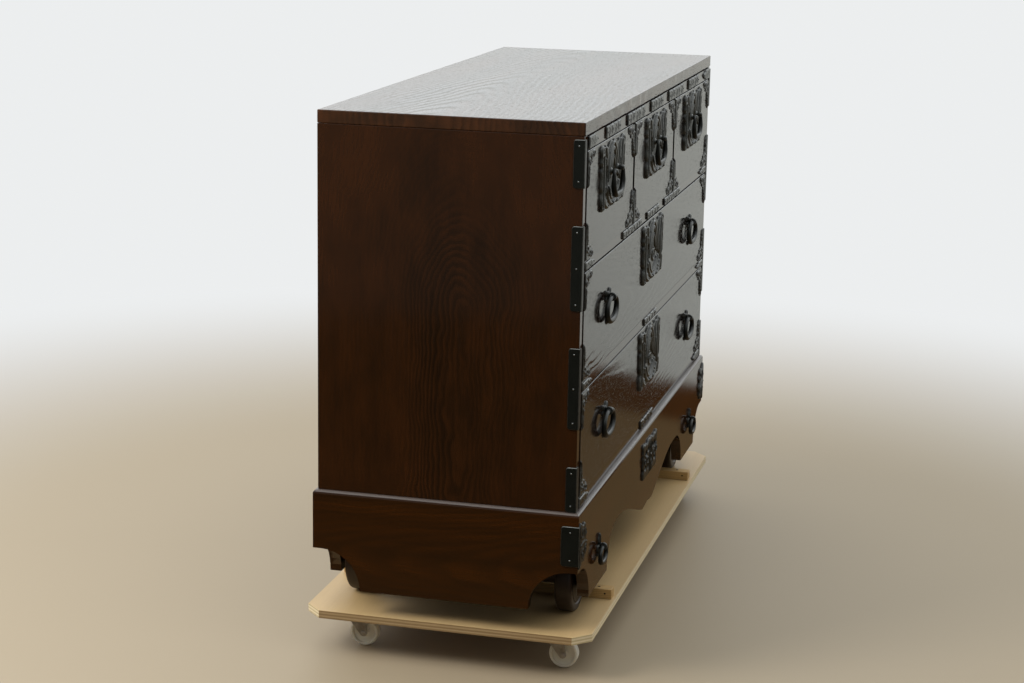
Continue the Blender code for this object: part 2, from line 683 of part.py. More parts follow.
def add_ring_handle(name, place, rosette, ring, axis):
    """A rosette of some width and height with its eye, and the ring that swings in it."""
    width, height = rosette
    half_w, half_h, rod_r, belly_r = ring
    node = name + "_rosette"
    add_piece(node, rosette_mesh(node, width, height, rod_r), IRON, place, parent=axis)
    node = name + "_ring"
    pivot = (place[0], place[1] - RING_STANDOFF, place[2])
    add_piece(node, ring_mesh(node, half_w, half_h, rod_r, belly_r), IRON, pivot, parent=axis, smooth=True)


def build_base_fittings():
    """Ring handles on the front feet of the base, and the plate at its middle."""
    face_y = -BASE_HALF_Y - SEAT_GAP
    for place, x in (("left", -BASE_RING_X), ("right", BASE_RING_X)):
        add_ring_handle(f"base_{place}", (x, face_y, BASE_TOP - BASE_RING_DROP), (BASE_ROSETTE_W, BASE_ROSETTE_H),
                        (BASE_RING_HALF_W, BASE_RING_HALF_H, BASE_RING_ROD_R, BASE_RING_BELLY_R), None)
    node = "base_centre_plate"
    plate = plate_mesh(node, BASE_PLATE_W, BASE_PLATE_H, BASE_PLATE_RELIEF)
    plate_z = BASE_TOP - BASE_PLATE_DROP - BASE_PLATE_H / 2
    add_piece(node, plate, IRON, (0, face_y, plate_z))


def build_dolly():
    """A plywood board with cut corners, two wheel chocks on top and four caster plates below."""
    half_x, half_y = DOLLY_LENGTH / 2, DOLLY_DEPTH / 2
    corner = [(half_x, half_y - DOLLY_CHAMFER), (half_x - DOLLY_CHAMFER, half_y)]
    outline = corner + [(-x, y) for x, y in reversed(corner)]
    outline += [(-x, -y) for x, y in corner] + [(x, -y) for x, y in reversed(corner)]
    board = finish_mesh(prism_bmesh(outline, CASTER_H, DOLLY_TOP, along_z), "dolly_board")
    sunk = DOLLY_T / 4
    batten_y = half_y - BATTEN_END_GAP
    added = []
    for side in (-1, 1):
        x = side * BATTEN_X
        added.append(box_mesh((x - BATTEN_W / 2, -batten_y, DOLLY_TOP - sunk),
                              (x + BATTEN_W / 2, batten_y, DOLLY_TOP + BATTEN_H)))
        for end in (-1, 1):
            centre = Vector((side * CASTER_X, end * CASTER_Y, 0))
            reach = Vector((CASTER_PLATE_X / 2, CASTER_PLATE_Y / 2, 0))
            low = centre - reach + Vector((0, 0, CASTER_H - CASTER_PLATE_T))
            high = centre + reach + Vector((0, 0, CASTER_H + sunk))
            added.append(box_mesh(low, high))
    add_piece("dolly_board", combine(board, added, "UNION"), PLYWOOD)


def fork_mesh():
    """A swivel fork with its bearing head and axle pin, made round its kingpin at floor height."""
    axle = (-CASTER_TRAIL, CASTER_WHEEL_R)
    crown_top = FORK_CROWN_Z + FORK_CROWN_T
    leg = arc(axle, FORK_HUB_R, 190, 350, 6)
    leg += [(FORK_HALF_TOP, FORK_CROWN_Z), (FORK_HALF_TOP, crown_top)]
    leg += [(-FORK_HALF_TOP, crown_top), (-FORK_HALF_TOP, FORK_CROWN_Z)]
    outer = FORK_INNER + FORK_T
    legs = []
    for start, end in ((-outer, -FORK_INNER), (FORK_INNER, outer)):
        legs.append(finish_mesh(prism_bmesh(leg, start, end, along_x), "leg"))
    crown = box_mesh((-outer + FORK_T / 2, -FORK_HALF_TOP + FORK_T / 2, FORK_CROWN_Z + FORK_CROWN_T / 4),
                     (outer - FORK_T / 2, FORK_HALF_TOP - FORK_T / 2, crown_top - FORK_CROWN_T / 4))
    head_top = CASTER_H - CASTER_PLATE_T - SEAT_GAP
    head = rod_mesh(FORK_HEAD_R, crown_top - FORK_CROWN_T / 2, head_top, 20)
    pin_reach = FORK_INNER + FORK_T / 2
    pin = turn_to_x(rod_mesh(CASTER_PIN_R, -pin_reach, pin_reach, 12))
    return combine(crown, legs + [head, shifted(pin, (0, *axle))], "UNION")


def caster_wheel_mesh():
    """A nylon caster wheel with a hub, a dished web and a rounded tread, along X."""
    half, hub = CASTER_WHEEL_W / 2, CASTER_HUB_W / 2
    bore = CASTER_PIN_R + PIN_GAP
    rim = CASTER_WHEEL_R * 0.80
    hub_r = CASTER_WHEEL_R * 0.32
    side = [(bore, hub), (hub_r, hub), (hub_r * 1.15, half * 0.7), (rim, half * 0.8),
            (rim * 1.05, half), (CASTER_WHEEL_R, half * 0.85)]
    profile = side + [(radius, -height) for radius, height in reversed(side)]
    return turn_to_x(turned_mesh(profile, CASTER_SEGMENTS, "caster_wheel", closed=True))


def build_casters():
    """Four swivel casters, each with its fork on the kingpin and its wheel on the fork's pin."""
    for place, y in (("front", -CASTER_Y), ("back", CASTER_Y)):
        for side, x in (("left", -CASTER_X), ("right", CASTER_X)):
            name = f"caster_{place}_{side}"
            add_piece(name + "_fork", fork_mesh(), ZINC, (x, y, 0), smooth=True)
            centre = (x, y - CASTER_TRAIL, CASTER_WHEEL_R)
            add_piece(name + "_wheel", caster_wheel_mesh(), NYLON, centre, smooth=True)


def build():
    """Make the whole chest."""
    clear_scene()
    build_carcass()
    build_aprons()
    build_base_sides()
    build_wheels()
    build_drawers()
    build_base_fittings()
    build_dolly()
    build_casters()


build()
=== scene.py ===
"""Looks of a wheeled tansu chest: lacquered boards, cast iron fittings, wooden wheels and a plywood dolly."""

import json
import logging
import math
from dataclasses import dataclass
from enum import Enum
from typing import Callable, Optional, Protocol, Sequence, Union

import bmesh
import bpy
import numpy as np
from mathutils import Matrix, Vector
from mathutils.geometry import delaunay_2d_cdt


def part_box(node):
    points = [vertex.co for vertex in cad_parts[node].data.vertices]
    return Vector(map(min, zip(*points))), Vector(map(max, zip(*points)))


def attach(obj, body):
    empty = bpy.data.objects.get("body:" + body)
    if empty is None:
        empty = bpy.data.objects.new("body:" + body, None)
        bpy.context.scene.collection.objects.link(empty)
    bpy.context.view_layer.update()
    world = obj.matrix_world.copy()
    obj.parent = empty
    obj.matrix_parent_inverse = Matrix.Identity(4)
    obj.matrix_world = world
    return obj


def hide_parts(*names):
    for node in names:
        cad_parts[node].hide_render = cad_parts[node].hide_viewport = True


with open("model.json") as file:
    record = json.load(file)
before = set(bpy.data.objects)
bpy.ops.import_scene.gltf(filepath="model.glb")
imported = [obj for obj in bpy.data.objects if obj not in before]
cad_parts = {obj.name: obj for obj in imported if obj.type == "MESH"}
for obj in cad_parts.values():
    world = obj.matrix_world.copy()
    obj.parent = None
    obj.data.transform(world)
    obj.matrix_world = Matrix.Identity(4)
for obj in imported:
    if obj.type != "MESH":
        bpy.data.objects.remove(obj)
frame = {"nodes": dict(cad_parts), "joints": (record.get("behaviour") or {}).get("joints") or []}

LOG = logging.getLogger("tansu")

Colour = tuple[float, float, float]
Point = tuple[float, float]
Socket = bpy.types.NodeSocket
Feed = Union[Socket, float, Sequence[float]]
Span = tuple[float, float, float, float]
Points = tuple[Point, ...]
Rows = tuple[tuple[float, ...], ...]
Box = tuple[Vector, Vector]
Shape = bmesh.types.BMesh
Corner = bmesh.types.BMVert
Material = bpy.types.Material

# How far the front edges of the sides lie behind the drawer fronts, and what share of that the shelves have.
SETBACK = Vector((0, 0.0013, 0))
SHELVES = {"upper_shelf": 1.0, "lower_shelf": 0.35, "bottom_board": 1.0}
# A step that keeps two surfaces from lying in one plane.
HAIR = 0.0002
# Turns a shape's Z axis to the front.
TO_FRONT = Matrix.Rotation(math.pi / 2, 4, "X")
# Edges flatter than this many degrees are shaded smooth, on most pieces and on castings.
SMOOTH = 38.0
CAST_SMOOTH = 50.0


class Axis(Enum):
    """A direction of the shared frame."""

    X = 0
    Y = 1
    Z = 2


class Body(Enum):
    """The bodies that carry more than their own node."""

    CHEST = "chest"


CHEST = Body.CHEST.value


class NodeBoard:
    """The node tree of a material or of the world, with short ways to lay and wire its nodes."""

    def __init__(self, owner: Union[Material, bpy.types.World]) -> None:
        """Open the tree.

        Args:
            owner: The material or the world.
        """
        owner.use_nodes = True
        self.owner = owner
        self.nodes = owner.node_tree.nodes
        self.links = owner.node_tree.links

    @property
    def shader(self) -> bpy.types.Node:
        """A material's own shader."""
        return self.nodes["Principled BSDF"]

    def feed(self, socket: Socket, value: Feed) -> None:
        """Wire a socket, or set its constant.

        Args:
            socket: The input to fill.
            value: Another node's output, or a number or colour.
        """
        if isinstance(value, bpy.types.NodeSocket):
            self.links.new(value, socket)
        else:
            socket.default_value = value

    def set(self, **values: Feed) -> None:
        """Fill the shader's inputs, named with underscores for spaces."""
        for name, value in values.items():
            self.feed(self.shader.inputs[name.replace("_", " ")], value)

    def lay(self, kind: str, values: Sequence[Feed], **settings: str) -> Socket:
        """Lay a node and feed its inputs.

        Args:
            kind: The node's kind.
            values: What feeds its inputs, in order.
            settings: Its settings.

        Returns:
            Its first output.
        """
        node = self.nodes.new("ShaderNode" + kind)
        for name, value in settings.items():
            setattr(node, name, value)
        for socket, value in zip(node.inputs, values):
            self.feed(socket, value)
        return node.outputs[0]

    def calc(self, operation: str, *values: Feed) -> Socket:
        """The result of a Math node."""
        return self.lay("Math", values, operation=operation)

    def lean(self, start: Feed, noise: Socket, share: float) -> Socket:
        """A start with a share of a noise added, counted from the noise's middle."""
        return self.calc("MULTIPLY_ADD", self.calc("SUBTRACT", noise, 0.5), share, start)

    def place(self, kind: str = "Object") -> Socket:
        """The surface point; Object means in the piece's own frame."""
        return self.nodes.new("ShaderNodeTexCoord").outputs[kind]

    def parts(self, vector: Socket) -> tuple[Socket, ...]:
        """Split a vector.

        Args:
            vector: The vector.

        Returns:
            Its X, Y and Z.
        """
        node = self.nodes.new("ShaderNodeSeparateXYZ")
        self.feed(node.inputs[0], vector)
        return tuple(node.outputs)

    def vector(self, x: Feed, y: Feed, z: Feed) -> Socket:
        """Three numbers as a vector."""
        return self.lay("CombineXYZ", (x, y, z))

    def blend(self, share: Socket, first: Socket, second: Socket) -> Socket:
        """Two shaders mixed, with a share of the second one."""
        return self.lay("MixShader", (share, first, second))

    def noise(self, vector: Socket, scale: float, detail: float = 3.0, seed: float = 0.0) -> Socket:
        """A noise from 0 to 1, with finer layers as its detail and a seed for its form."""
        return self.lay("TexNoise", (vector, seed, scale, detail), noise_dimensions="4D")

    def span(self, value: Socket, low: float, high: float, start: float = 0.0, end: float = 1.0) -> Socket:
        """A number brought from one range to another, held at the ends."""
        return self.lay("MapRange", (value, low, high, start, end), interpolation_type="SMOOTHSTEP")

    def ramp(self, factor: Socket, stops: Sequence[tuple[float, Colour]]) -> Socket:
        """A colour ramp.

        Args:
            factor: Where on the ramp.
            stops: Places and colours.

        Returns:
            The colour.
        """
        node = self.nodes.new("ShaderNodeValToRGB")
        while len(node.color_ramp.elements) < len(stops):
            node.color_ramp.elements.new(1.0)
        for element, (place, colour) in zip(node.color_ramp.elements, stops):
            element.position = place
            element.color = (*colour, 1.0)
        self.feed(node.inputs[0], factor)
        return node.outputs[0]

    def mix(self, factor: Feed, first: Feed, second: Feed) -> Socket:
        """Mix two colours.

        Args:
            factor: Share of the second one.
            first: A colour.
            second: A colour.

        Returns:
            The mixed colour.
        """
        node = self.nodes.new("ShaderNodeMix")
        node.data_type = "RGBA"
        for place, value in ((0, factor), (6, first), (7, second)):
            self.feed(node.inputs[place], (*value, 1.0) if isinstance(value, tuple) else value)
        return node.outputs[2]

    def bump(self, height: Socket, strength: float, distance: float) -> None:
        """Give the surface fine relief.

        Args:
            height: The relief.
            strength: How strong it shows.
            distance: Its depth in metres.
        """
        node = self.nodes.new("ShaderNodeBump")
        node.inputs["Strength"].default_value = strength
        node.inputs["Distance"].default_value = distance
        self.feed(node.inputs["Height"], height)
        self.feed(self.shader.inputs["Normal"], node.outputs[0])


def material_board(name: str) -> NodeBoard:
    """A new material's board."""
    return NodeBoard(bpy.data.materials.new(name))


class Finish(Protocol):
    """What every finish offers."""

    name: str

    def material(self) -> Material:
        """Build the finish's material."""


@dataclass(frozen=True)
class Layer:
    """A noise of the wood: what share of the place along the grain counts, its scale and which form it has."""

    stretch: float
    scale: float
    form: float


@dataclass(frozen=True)
class Grain:
    """The surface point of a board, read along, across and through its grain."""

    board: NodeBoard
    along: Socket
    across: Socket
    through: Socket
    seed: float

    def noise(self, layer: Layer) -> Socket:
        """A noise drawn out along the grain.

        Args:
            layer: Which noise.

        Returns:
            The noise, from 0 to 1.
        """
        board = self.board
        spot = board.vector(self.across, board.calc("MULTIPLY", self.along, layer.stretch), self.through)
        return board.noise(spot, layer.scale, 3.0, self.seed + layer.form)


@dataclass(frozen=True)
class WoodFinish:
    """Wood with growth rings that arch along the grain, streaks, fibres, fine pores and a gloss of its own."""

    name: str
    along: Axis
    across: Axis
    deep: Colour
    warm: Colour
    light: Colour
    ring: float = 0.011
    slope: float = 0.11
    heart: float = 0.0
    heart_depth: float = 0.055
    wander: float = 0.045
    swirl: float = 0.0
    eye: Optional[float] = None
    tail: float = 0.12
    figure_half: float = 9.0
    ring_relief: float = 0.5
    ring_share: float = 0.30
    streak_share: float = 0.55
    streak_stretch: float = 0.05
    fibre_share: float = 0.16
    blotch_share: float = 0.50
    roughness: float = 0.10
    ior: float = 1.5
    pore_share: float = 0.07
    pore_depth: float = 0.00012
    pore_strength: float = 0.15
    dust: float = 0.0
    dust_tint: Colour = (0.135, 0.112, 0.100)
    seed: float = 0.0

    # The noises: where rings fade, broad blotches, fibres, pores, and three that bend the rings.
    FADE = Layer(0.30, 7.0, 4.4)
    BLOTCH = Layer(0.35, 5.0, 3.1)
    FIBRE = Layer(0.02, 420.0, 1.7)
    PORES = Layer(0.035, 1500.0, 8.4)
    SWAY = Layer(0.45, 4.5, 0.0)
    WAVER = Layer(0.18, 30.0, 5.0)
    SWIRL = Layer(0.7, 13.0, 9.3)
    STREAK_SCALE = 38.0
    STREAK_FORM = 6.2

    def material(self) -> Material:
        """Build the wood.

        Returns:
            The material.
        """
        board = material_board(self.name)
        parts = board.parts(board.place())
        through = 3 - self.along.value - self.across.value
        grain = Grain(board, parts[self.along.value], parts[self.across.value], parts[through], self.seed)
        fade = board.span(grain.noise(self.FADE), 0.36, 0.62, 0.2, 1.0)
        rings = board.calc("MULTIPLY", self._rings(grain), fade)
        blotch, fibre = grain.noise(self.BLOTCH), grain.noise(self.FIBRE)
        streak = grain.noise(Layer(self.streak_stretch, self.STREAK_SCALE, self.STREAK_FORM))
        pores = board.span(grain.noise(self.PORES), 0.58, 0.72)
        shade: Feed = 0.5
        for noise, share in ((blotch, self.blotch_share), (streak, self.streak_share), (fibre, self.fibre_share),
                             (rings, -self.ring_share)):
            shade = board.lean(shade, noise, share)
        shade = board.calc("MULTIPLY_ADD", pores, -self.pore_share, shade)
        colour = board.ramp(shade, ((0.15, self.deep), (0.48, self.warm), (0.84, self.light)))
        rough = board.calc("MULTIPLY_ADD", pores, 0.16, self.roughness)
        rough = board.lean(rough, blotch, 0.10)
        if self.dust:
            colour, rough = self._dusted(board, colour, rough, blotch)
        board.set(Base_Color=colour, Roughness=rough, IOR=self.ior)
        relief = board.calc("MULTIPLY_ADD", pores, -1.0, board.calc("MULTIPLY", fibre, 0.3))
        relief = board.calc("MULTIPLY_ADD", rings, -self.ring_relief, relief)
        board.bump(relief, self.pore_strength, self.pore_depth)
        return board.owner

    def _rings(self, grain: Grain) -> Socket:
        """Growth rings cut as tall arches, or as one arch with long legs below its eye.

        Args:
            grain: The surface point.

        Returns:
            1 at a ring's dark edge, falling to 0 across it.
        """
        board, along = grain.board, grain.along
        aside = board.calc("SUBTRACT", grain.across, self.heart)
        aside = board.lean(aside, grain.noise(self.SWAY), 2 * self.wander)
        square = board.calc("MULTIPLY_ADD", aside, aside, self.heart_depth ** 2)
        if self.eye is None:
            radius = board.calc("MULTIPLY_ADD", along, self.slope, board.calc("SQRT", square))
            away = board.calc("ABSOLUTE", aside)
        else:
            up = board.calc("MULTIPLY", board.calc("SUBTRACT", along, self.eye), self.slope)
            up = board.calc("MAXIMUM", up, board.calc("MULTIPLY", up, -self.tail))
            radius = away = board.calc("SQRT", board.calc("MULTIPLY_ADD", up, up, square))
        radius = board.lean(radius, grain.noise(self.WAVER), self.ring * 1.2)
        radius = board.lean(radius, grain.noise(self.SWIRL), self.swirl)
        phase = board.calc("FRACT", board.calc("DIVIDE", radius, self.ring))
        edge = board.span(phase, 0.0, 0.30)
        tail = board.span(phase, 0.30, 1.0, 1.0, 0.0)
        near = board.span(away, self.figure_half * 0.6, self.figure_half * 1.4, 1.0, 0.22)
        return board.calc("MULTIPLY", board.calc("MULTIPLY", edge, tail), near)

    def _dusted(self, board: NodeBoard, colour: Socket, rough: Socket, blotch: Socket) -> tuple[Socket, Socket]:
        """Lay dust on what looks up.

        Args:
            board: The material's nodes.
            colour: The clean colour.
            rough: The clean roughness.
            blotch: A slow noise that thins the dust in places.

        Returns:
            The dusty colour and roughness.
        """
        facing = board.parts(board.nodes.new("ShaderNodeNewGeometry").outputs["Normal"])
        cover = board.calc("MULTIPLY", board.span(facing[2], 0.30, 0.85), self.dust)
        cover = board.calc("MULTIPLY", cover, board.span(blotch, 0.15, 0.60, 0.45, 1.0))
        return board.mix(cover, colour, self.dust_tint), board.calc("MULTIPLY_ADD", cover, 0.5, rough)


@dataclass(frozen=True)
class PlyEdgeFinish:
    """The cut edge of plywood: pale and dark plies, one above the other."""

    name: str
    pale: Colour
    dark: Colour
    ply: float
    roughness: float = 0.62

    def material(self) -> Material:
        """Build the plies.

        Returns:
            The material.
        """
        board = material_board(self.name)
        x, y, z = board.parts(board.place())
        spot = board.vector(x, y, board.calc("MULTIPLY", z, 6.0))
        wave = board.calc("MULTIPLY_ADD", board.noise(spot, 60.0, 2.0), 0.0008, z)
        phase = board.calc("PINGPONG", board.calc("DIVIDE", wave, self.ply), 1.0)
        layer = board.span(phase, 0.42, 0.58)
        grain = board.noise(spot, 420.0, 3.0, 2.0)
        colour = board.mix(layer, self.pale, self.dark)
        soil = board.mix(board.span(grain, 0.5, 0.9, 0.0, 0.35), colour, self.dark)
        rough = board.calc("MULTIPLY_ADD", grain, 0.15, self.roughness)
        board.set(Base_Color=soil, Roughness=rough)
        board.bump(board.calc("ADD", layer, grain), 0.25, 0.0003)
        return board.owner


@dataclass(frozen=True)
class IronFinish:
    """Black lacquered iron with worn, brighter high spots and a hammered skin."""

    name: str
    black: Colour = (0.0145, 0.0155, 0.0130)
    dusty: Colour = (0.024, 0.0255, 0.0210)
    worn: Colour = (0.070, 0.071, 0.064)
    roughness: float = 0.30
    hammered: float = 0.12
    ior: float = 1.5

    def material(self) -> Material:
        """Build the iron.

        Returns:
            The material.
        """
        board = material_board(self.name)
        spot = board.place()
        patch = board.noise(spot, 55.0, 4.0)
        skin = board.noise(spot, 900.0, 2.0, 4.0)
        ridge = board.nodes.new("ShaderNodeNewGeometry").outputs["Pointiness"]
        high = board.calc("MULTIPLY", board.span(ridge, 0.505, 0.60), board.span(patch, 0.30, 0.62))
        dusty = board.mix(board.span(patch, 0.40, 0.75), self.black, self.dusty)
        colour = board.mix(high, dusty, self.worn)
        rough = board.calc("MULTIPLY_ADD", patch, 0.16, self.roughness - 0.08)
        board.set(Base_Color=colour, Roughness=rough, IOR=self.ior)
        board.bump(board.calc("MULTIPLY_ADD", patch, 2.0, skin), self.hammered, 0.0004)
        return board.owner


@dataclass(frozen=True)
class SteelFinish:
    """Plated or bare steel with faint drawing marks and dulled patches."""

    name: str
    bright: Colour
    dull: Colour
    roughness: float
    marks: float = 0.10

    def material(self) -> Material:
        """Build the steel.

        Returns:
            The material.
        """
        board = material_board(self.name)
        spot = board.place()
        x, y, z = board.parts(spot)
        drawn = board.vector(board.calc("MULTIPLY", x, 0.08), y, z)
        cloud = board.noise(spot, 90.0, 4.0)
        lines = board.noise(drawn, 1400.0, 2.0, 3.0)
        colour = board.mix(board.span(cloud, 0.35, 0.70), self.bright, self.dull)
        rough = board.calc("MULTIPLY_ADD", lines, 0.18, board.calc("MULTIPLY_ADD", cloud, 0.15, self.roughness))
        board.set(Base_Color=colour, Roughness=rough, Metallic=1.0)
        board.bump(lines, self.marks, 0.0002)
        return board.owner


@dataclass(frozen=True)
class NylonFinish:
    """Milky moulded nylon, a little see-through, with scuffs on the tread."""

    name: str
    milk: Colour = (0.82, 0.78, 0.66)
    scuff: Colour = (0.40, 0.375, 0.31)
    roughness: float = 0.36

    def material(self) -> Material:
        """Build the nylon.

        Returns:
            The material.
        """
        board = material_board(self.name)
        spot = board.place()
        cloud = board.noise(spot, 160.0, 4.0)
        speck = board.noise(spot, 1300.0, 2.0, 6.0)
        mask = board.span(board.calc("MULTIPLY_ADD", speck, 0.3, cloud), 0.72, 1.0, 0.0, 0.5)
        board.set(Base_Color=board.mix(mask, self.milk, self.scuff),
                  Roughness=board.calc("MULTIPLY_ADD", cloud, 0.2, self.roughness),
                  Subsurface_Weight=0.2, Subsurface_Radius=(0.006, 0.005, 0.004), Transmission_Weight=0.3)
        board.bump(speck, 0.10, 0.0003)
        return board.owner


class Palette:
    """The finishes of this chest, and the materials made from them."""

    LACQUER_DEEP: Colour = (0.0060, 0.0033, 0.0018)
    LACQUER_WARM: Colour = (0.0145, 0.0062, 0.0027)
    LACQUER_LIGHT: Colour = (0.0330, 0.0116, 0.0042)

    def __init__(self) -> None:
        """Start with no material made."""
        self._made: dict[str, Material] = {}
        self.iron = IronFinish("black_iron")
        self.strap_iron = IronFinish("strap_iron", (0.0052, 0.0059, 0.0046), (0.0064, 0.0071, 0.0056),
                                     (0.0064, 0.0071, 0.0056), roughness=0.22, hammered=0.03, ior=1.45)
        self.forged_iron = IronFinish("forged_iron", (0.0050, 0.0056, 0.0046), (0.0090, 0.0098, 0.0080),
                                      (0.034, 0.035, 0.031), roughness=0.34, ior=1.34)
        self.trim_iron = IronFinish("trim_iron", black=(0.0060, 0.0064, 0.0056), roughness=0.26, hammered=0.10)
        self.worn_edge = SteelFinish("worn_edge", (0.24, 0.24, 0.225), (0.13, 0.13, 0.12), 0.30)
        self.nail = SteelFinish("nail_steel", (0.62, 0.62, 0.60), (0.30, 0.30, 0.29), 0.22)
        self.zinc = SteelFinish("zinc_plate", (0.62, 0.63, 0.64), (0.40, 0.40, 0.39), 0.30)
        self.nylon = NylonFinish("milky_nylon")
        # Two copies of one ply edge: a paler one with painted light for the dolly's long edges, and a darker one
        # with painted shade for its ends along X.
        self.ply_lit_sides = PlyEdgeFinish("ply_lit_sides", (0.66, 0.55, 0.36), (0.48, 0.375, 0.21), 0.0028)
        self.ply_shaded_ends = PlyEdgeFinish("ply_shaded_ends", (0.305, 0.205, 0.100), (0.205, 0.128, 0.053), 0.0028)

    def lacquer(self, name: str, along: Axis, across: Axis, lift: float = 1.0, grey: float = 0.0,
                **changes: float) -> WoodFinish:
        """Red-brown lacquer over zelkova.

        Args:
            name: The material's name.
            along: The way of the grain.
            across: The way across the board's face.
            lift: How much lighter than usual it is.
            grey: How far its tint is drawn towards grey.
            changes: Values that differ from the usual ones.

        Returns:
            The finish.
        """
        tints = [tuple(lift * (part + grey * (sum(tint) / 3 - part)) for part in tint)
                 for tint in (self.LACQUER_DEEP, self.LACQUER_WARM, self.LACQUER_LIGHT)]
        return WoodFinish("lacquer_" + name, along, across, *tints, **changes)

    def bare(self, name: str, along: Axis, across: Axis, tint: Colour, **changes: float) -> WoodFinish:
        """Unfinished wood.

        Args:
            name: The material's name.
            along: The way of the grain.
            across: The way across the board's face.
            tint: Its middle colour.
            changes: Values that differ from the usual ones.

        Returns:
            The finish.
        """
        deep = tuple(part * 0.62 for part in tint)
        light = tuple(min(0.9, part * 1.22) for part in tint)
        values = {"roughness": 0.58, "ior": 1.45, "ring_share": 0.16, "streak_share": 0.3, "blotch_share": 0.25}
        return WoodFinish("bare_" + name, along, across, deep, tint, light, **{**values, **changes})

    def of(self, finish: Finish) -> Material:
        """A finish's material, made once.

        Args:
            finish: The finish.

        Returns:
            Its material.
        """
        if finish.name not in self._made:
            self._made[finish.name] = finish.material()
        return self._made[finish.name]


class Workshop:
    """Puts pieces in the frame: rides, stand-ins and materials."""

    def __init__(self, palette: Palette) -> None:
        """Open the workshop.

        Args:
            palette: The finishes to use.
        """
        self.palette = palette
        self.joints = {joint["name"]: joint for joint in frame["joints"]}

    def dress(self, node: str, finish: Finish) -> None:
        """Give a CAD node its finish.

        Args:
            node: The node's name.
            finish: Its finish.
        """
        piece = frame["nodes"][node]
        piece.data.materials.clear()
        piece.data.materials.append(self.palette.of(finish))
        LOG.info("dressed %s in %s", node, finish.name)

    def add(self, name: str, bm: Shape, body: str, slot: str, *finishes: Finish,
            smooth: Optional[float] = SMOOTH, stands_for: Sequence[str] = ()) -> None:
        """Put a new piece on a body.

        Args:
            name: The piece's name.
            bm: Its shape, in place, which is used up.
            body: The body it moves with.
            slot: The record's material slot; not used.
            finishes: Its finishes, one per material index.
            smooth: Edges flatter than this many degrees are shaded smooth; None leaves all flat.
            stands_for: CAD nodes that it replaces.
        """
        piece = new_piece(name, bm, smooth)
        for finish in finishes:
            piece.data.materials.append(self.palette.of(finish))
        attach(piece, body)
        if stands_for:
            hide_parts(*stands_for)
        LOG.info("%s rides on %s", piece.name, body)

    def pivot(self, joint: str) -> Vector:
        """A point on a joint's axis."""
        return Vector(self.joints[joint]["pos_m"])


def new_piece(name: str, bm: Shape, smooth: Optional[float]) -> bpy.types.Object:
    """Turn a bmesh into an object with outward faces.

    Args:
        name: The piece's name.
        bm: Its shape, which is used up.
        smooth: Edges flatter than this many degrees are shaded smooth; None leaves all flat.

    Returns:
        The piece.
    """
    bmesh.ops.recalc_face_normals(bm, faces=bm.faces[:])
    mesh = bpy.data.meshes.new(name)
    bm.to_mesh(mesh)
    bm.free()
    if smooth is not None:
        mesh.shade_smooth()
        mesh.set_sharp_from_angle(angle=math.radians(smooth))
    piece = bpy.data.objects.new(name, mesh)
    bpy.context.scene.collection.objects.link(piece)
    return piece


def add_box(bm: Shape, low: Sequence[float], high: Sequence[float], soften: float) -> None:
    """Add a box with rounded edges.

    Args:
        bm: The shape to add to.
        low: Lowest corner.
        high: Highest corner.
        soften: Radius of its edges.
    """
    low, high = Vector(low), Vector(high)
    place = Matrix.Translation((low + high) / 2) @ Matrix.Diagonal((*(high - low), 1.0))
    made = bmesh.ops.create_cube(bm, size=1.0, matrix=place)
    edges = list({edge for vert in made["verts"] for edge in vert.link_edges})
    bmesh.ops.bevel(bm, geom=edges, offset=soften, segments=2, profile=0.5, affect="EDGES")


def bridge(bm: Shape, lower: Sequence[Corner], upper: Sequence[Corner]) -> list[bmesh.types.BMFace]:
    """Join two rings of corners with faces; a ring may be a single corner.

    Args:
        bm: The shape to add to.
        lower: The first ring.
        upper: The second ring.

    Returns:
        The faces.
    """
    count = max(len(lower), len(upper))
    faces = []
    for step in range(count):
        after = (step + 1) % count
        corners = dict.fromkeys((lower[step % len(lower)], lower[after % len(lower)],
                                 upper[after % len(upper)], upper[step % len(upper)]))
        if len(corners) > 2:
            faces.append(bm.faces.new(tuple(corners)))
    return faces


def add_prism(bm: Shape, outline: Sequence[Point], start: float, end: float,
              place: Callable[[float, float, float], Vector], soften: float = 0.0) -> None:
    """Add an outline drawn out between two depths.

    Args:
        bm: The shape to add to.
        outline: Points of the closed outline.
        start: First depth.
        end: Last depth.
        place: Gives the 3-D point of an outline point and a depth.
        soften: Radius of the edges at both ends.
    """
    first = [bm.verts.new(place(u, v, start)) for u, v in outline]
    last = [bm.verts.new(place(u, v, end)) for u, v in outline]
    rims = [edge for loop in (first, last) for edge in bm.faces.new(loop).edges]
    bridge(bm, first, last)
    if soften:
        bmesh.ops.bevel(bm, geom=rims, offset=soften, segments=2, profile=0.5, affect="EDGES")


def add_turned(bm: Shape, profile: Sequence[Point], segments: int, place: Matrix,
               closed: bool = False) -> None:
    """Add a turned shape.

    Args:
        bm: The shape to add to.
        profile: Points of (radius, height) round the local Z axis.
        segments: Facets round it.
        place: Where it goes.
        closed: Whether the profile closes on itself, which leaves a bore.
    """
    loops = []
    for radius, height in profile:
        if radius < 1e-7:
            loops.append([bm.verts.new(place @ Vector((0, 0, height)))])
            continue
        turn = [math.tau * step / segments for step in range(segments)]
        loops.append([bm.verts.new(place @ Vector((radius * math.cos(a), radius * math.sin(a), height)))
                      for a in turn])
    for lower, upper in zip(loops, loops[1:] + loops[:1] if closed else loops[1:]):
        bridge(bm, lower, upper)


@dataclass(frozen=True)
class NailHead:
    """A kind of nail head: its radius, its facets and its profile in shares of the radius."""

    radius: float
    facets: int
    profile: Points

    def add(self, bm: Shape, place: Matrix) -> None:
        """Add one head to a shape."""
        size = self.radius
        add_turned(bm, [(size * out, size * high) for out, high in self.profile], self.facets, place)


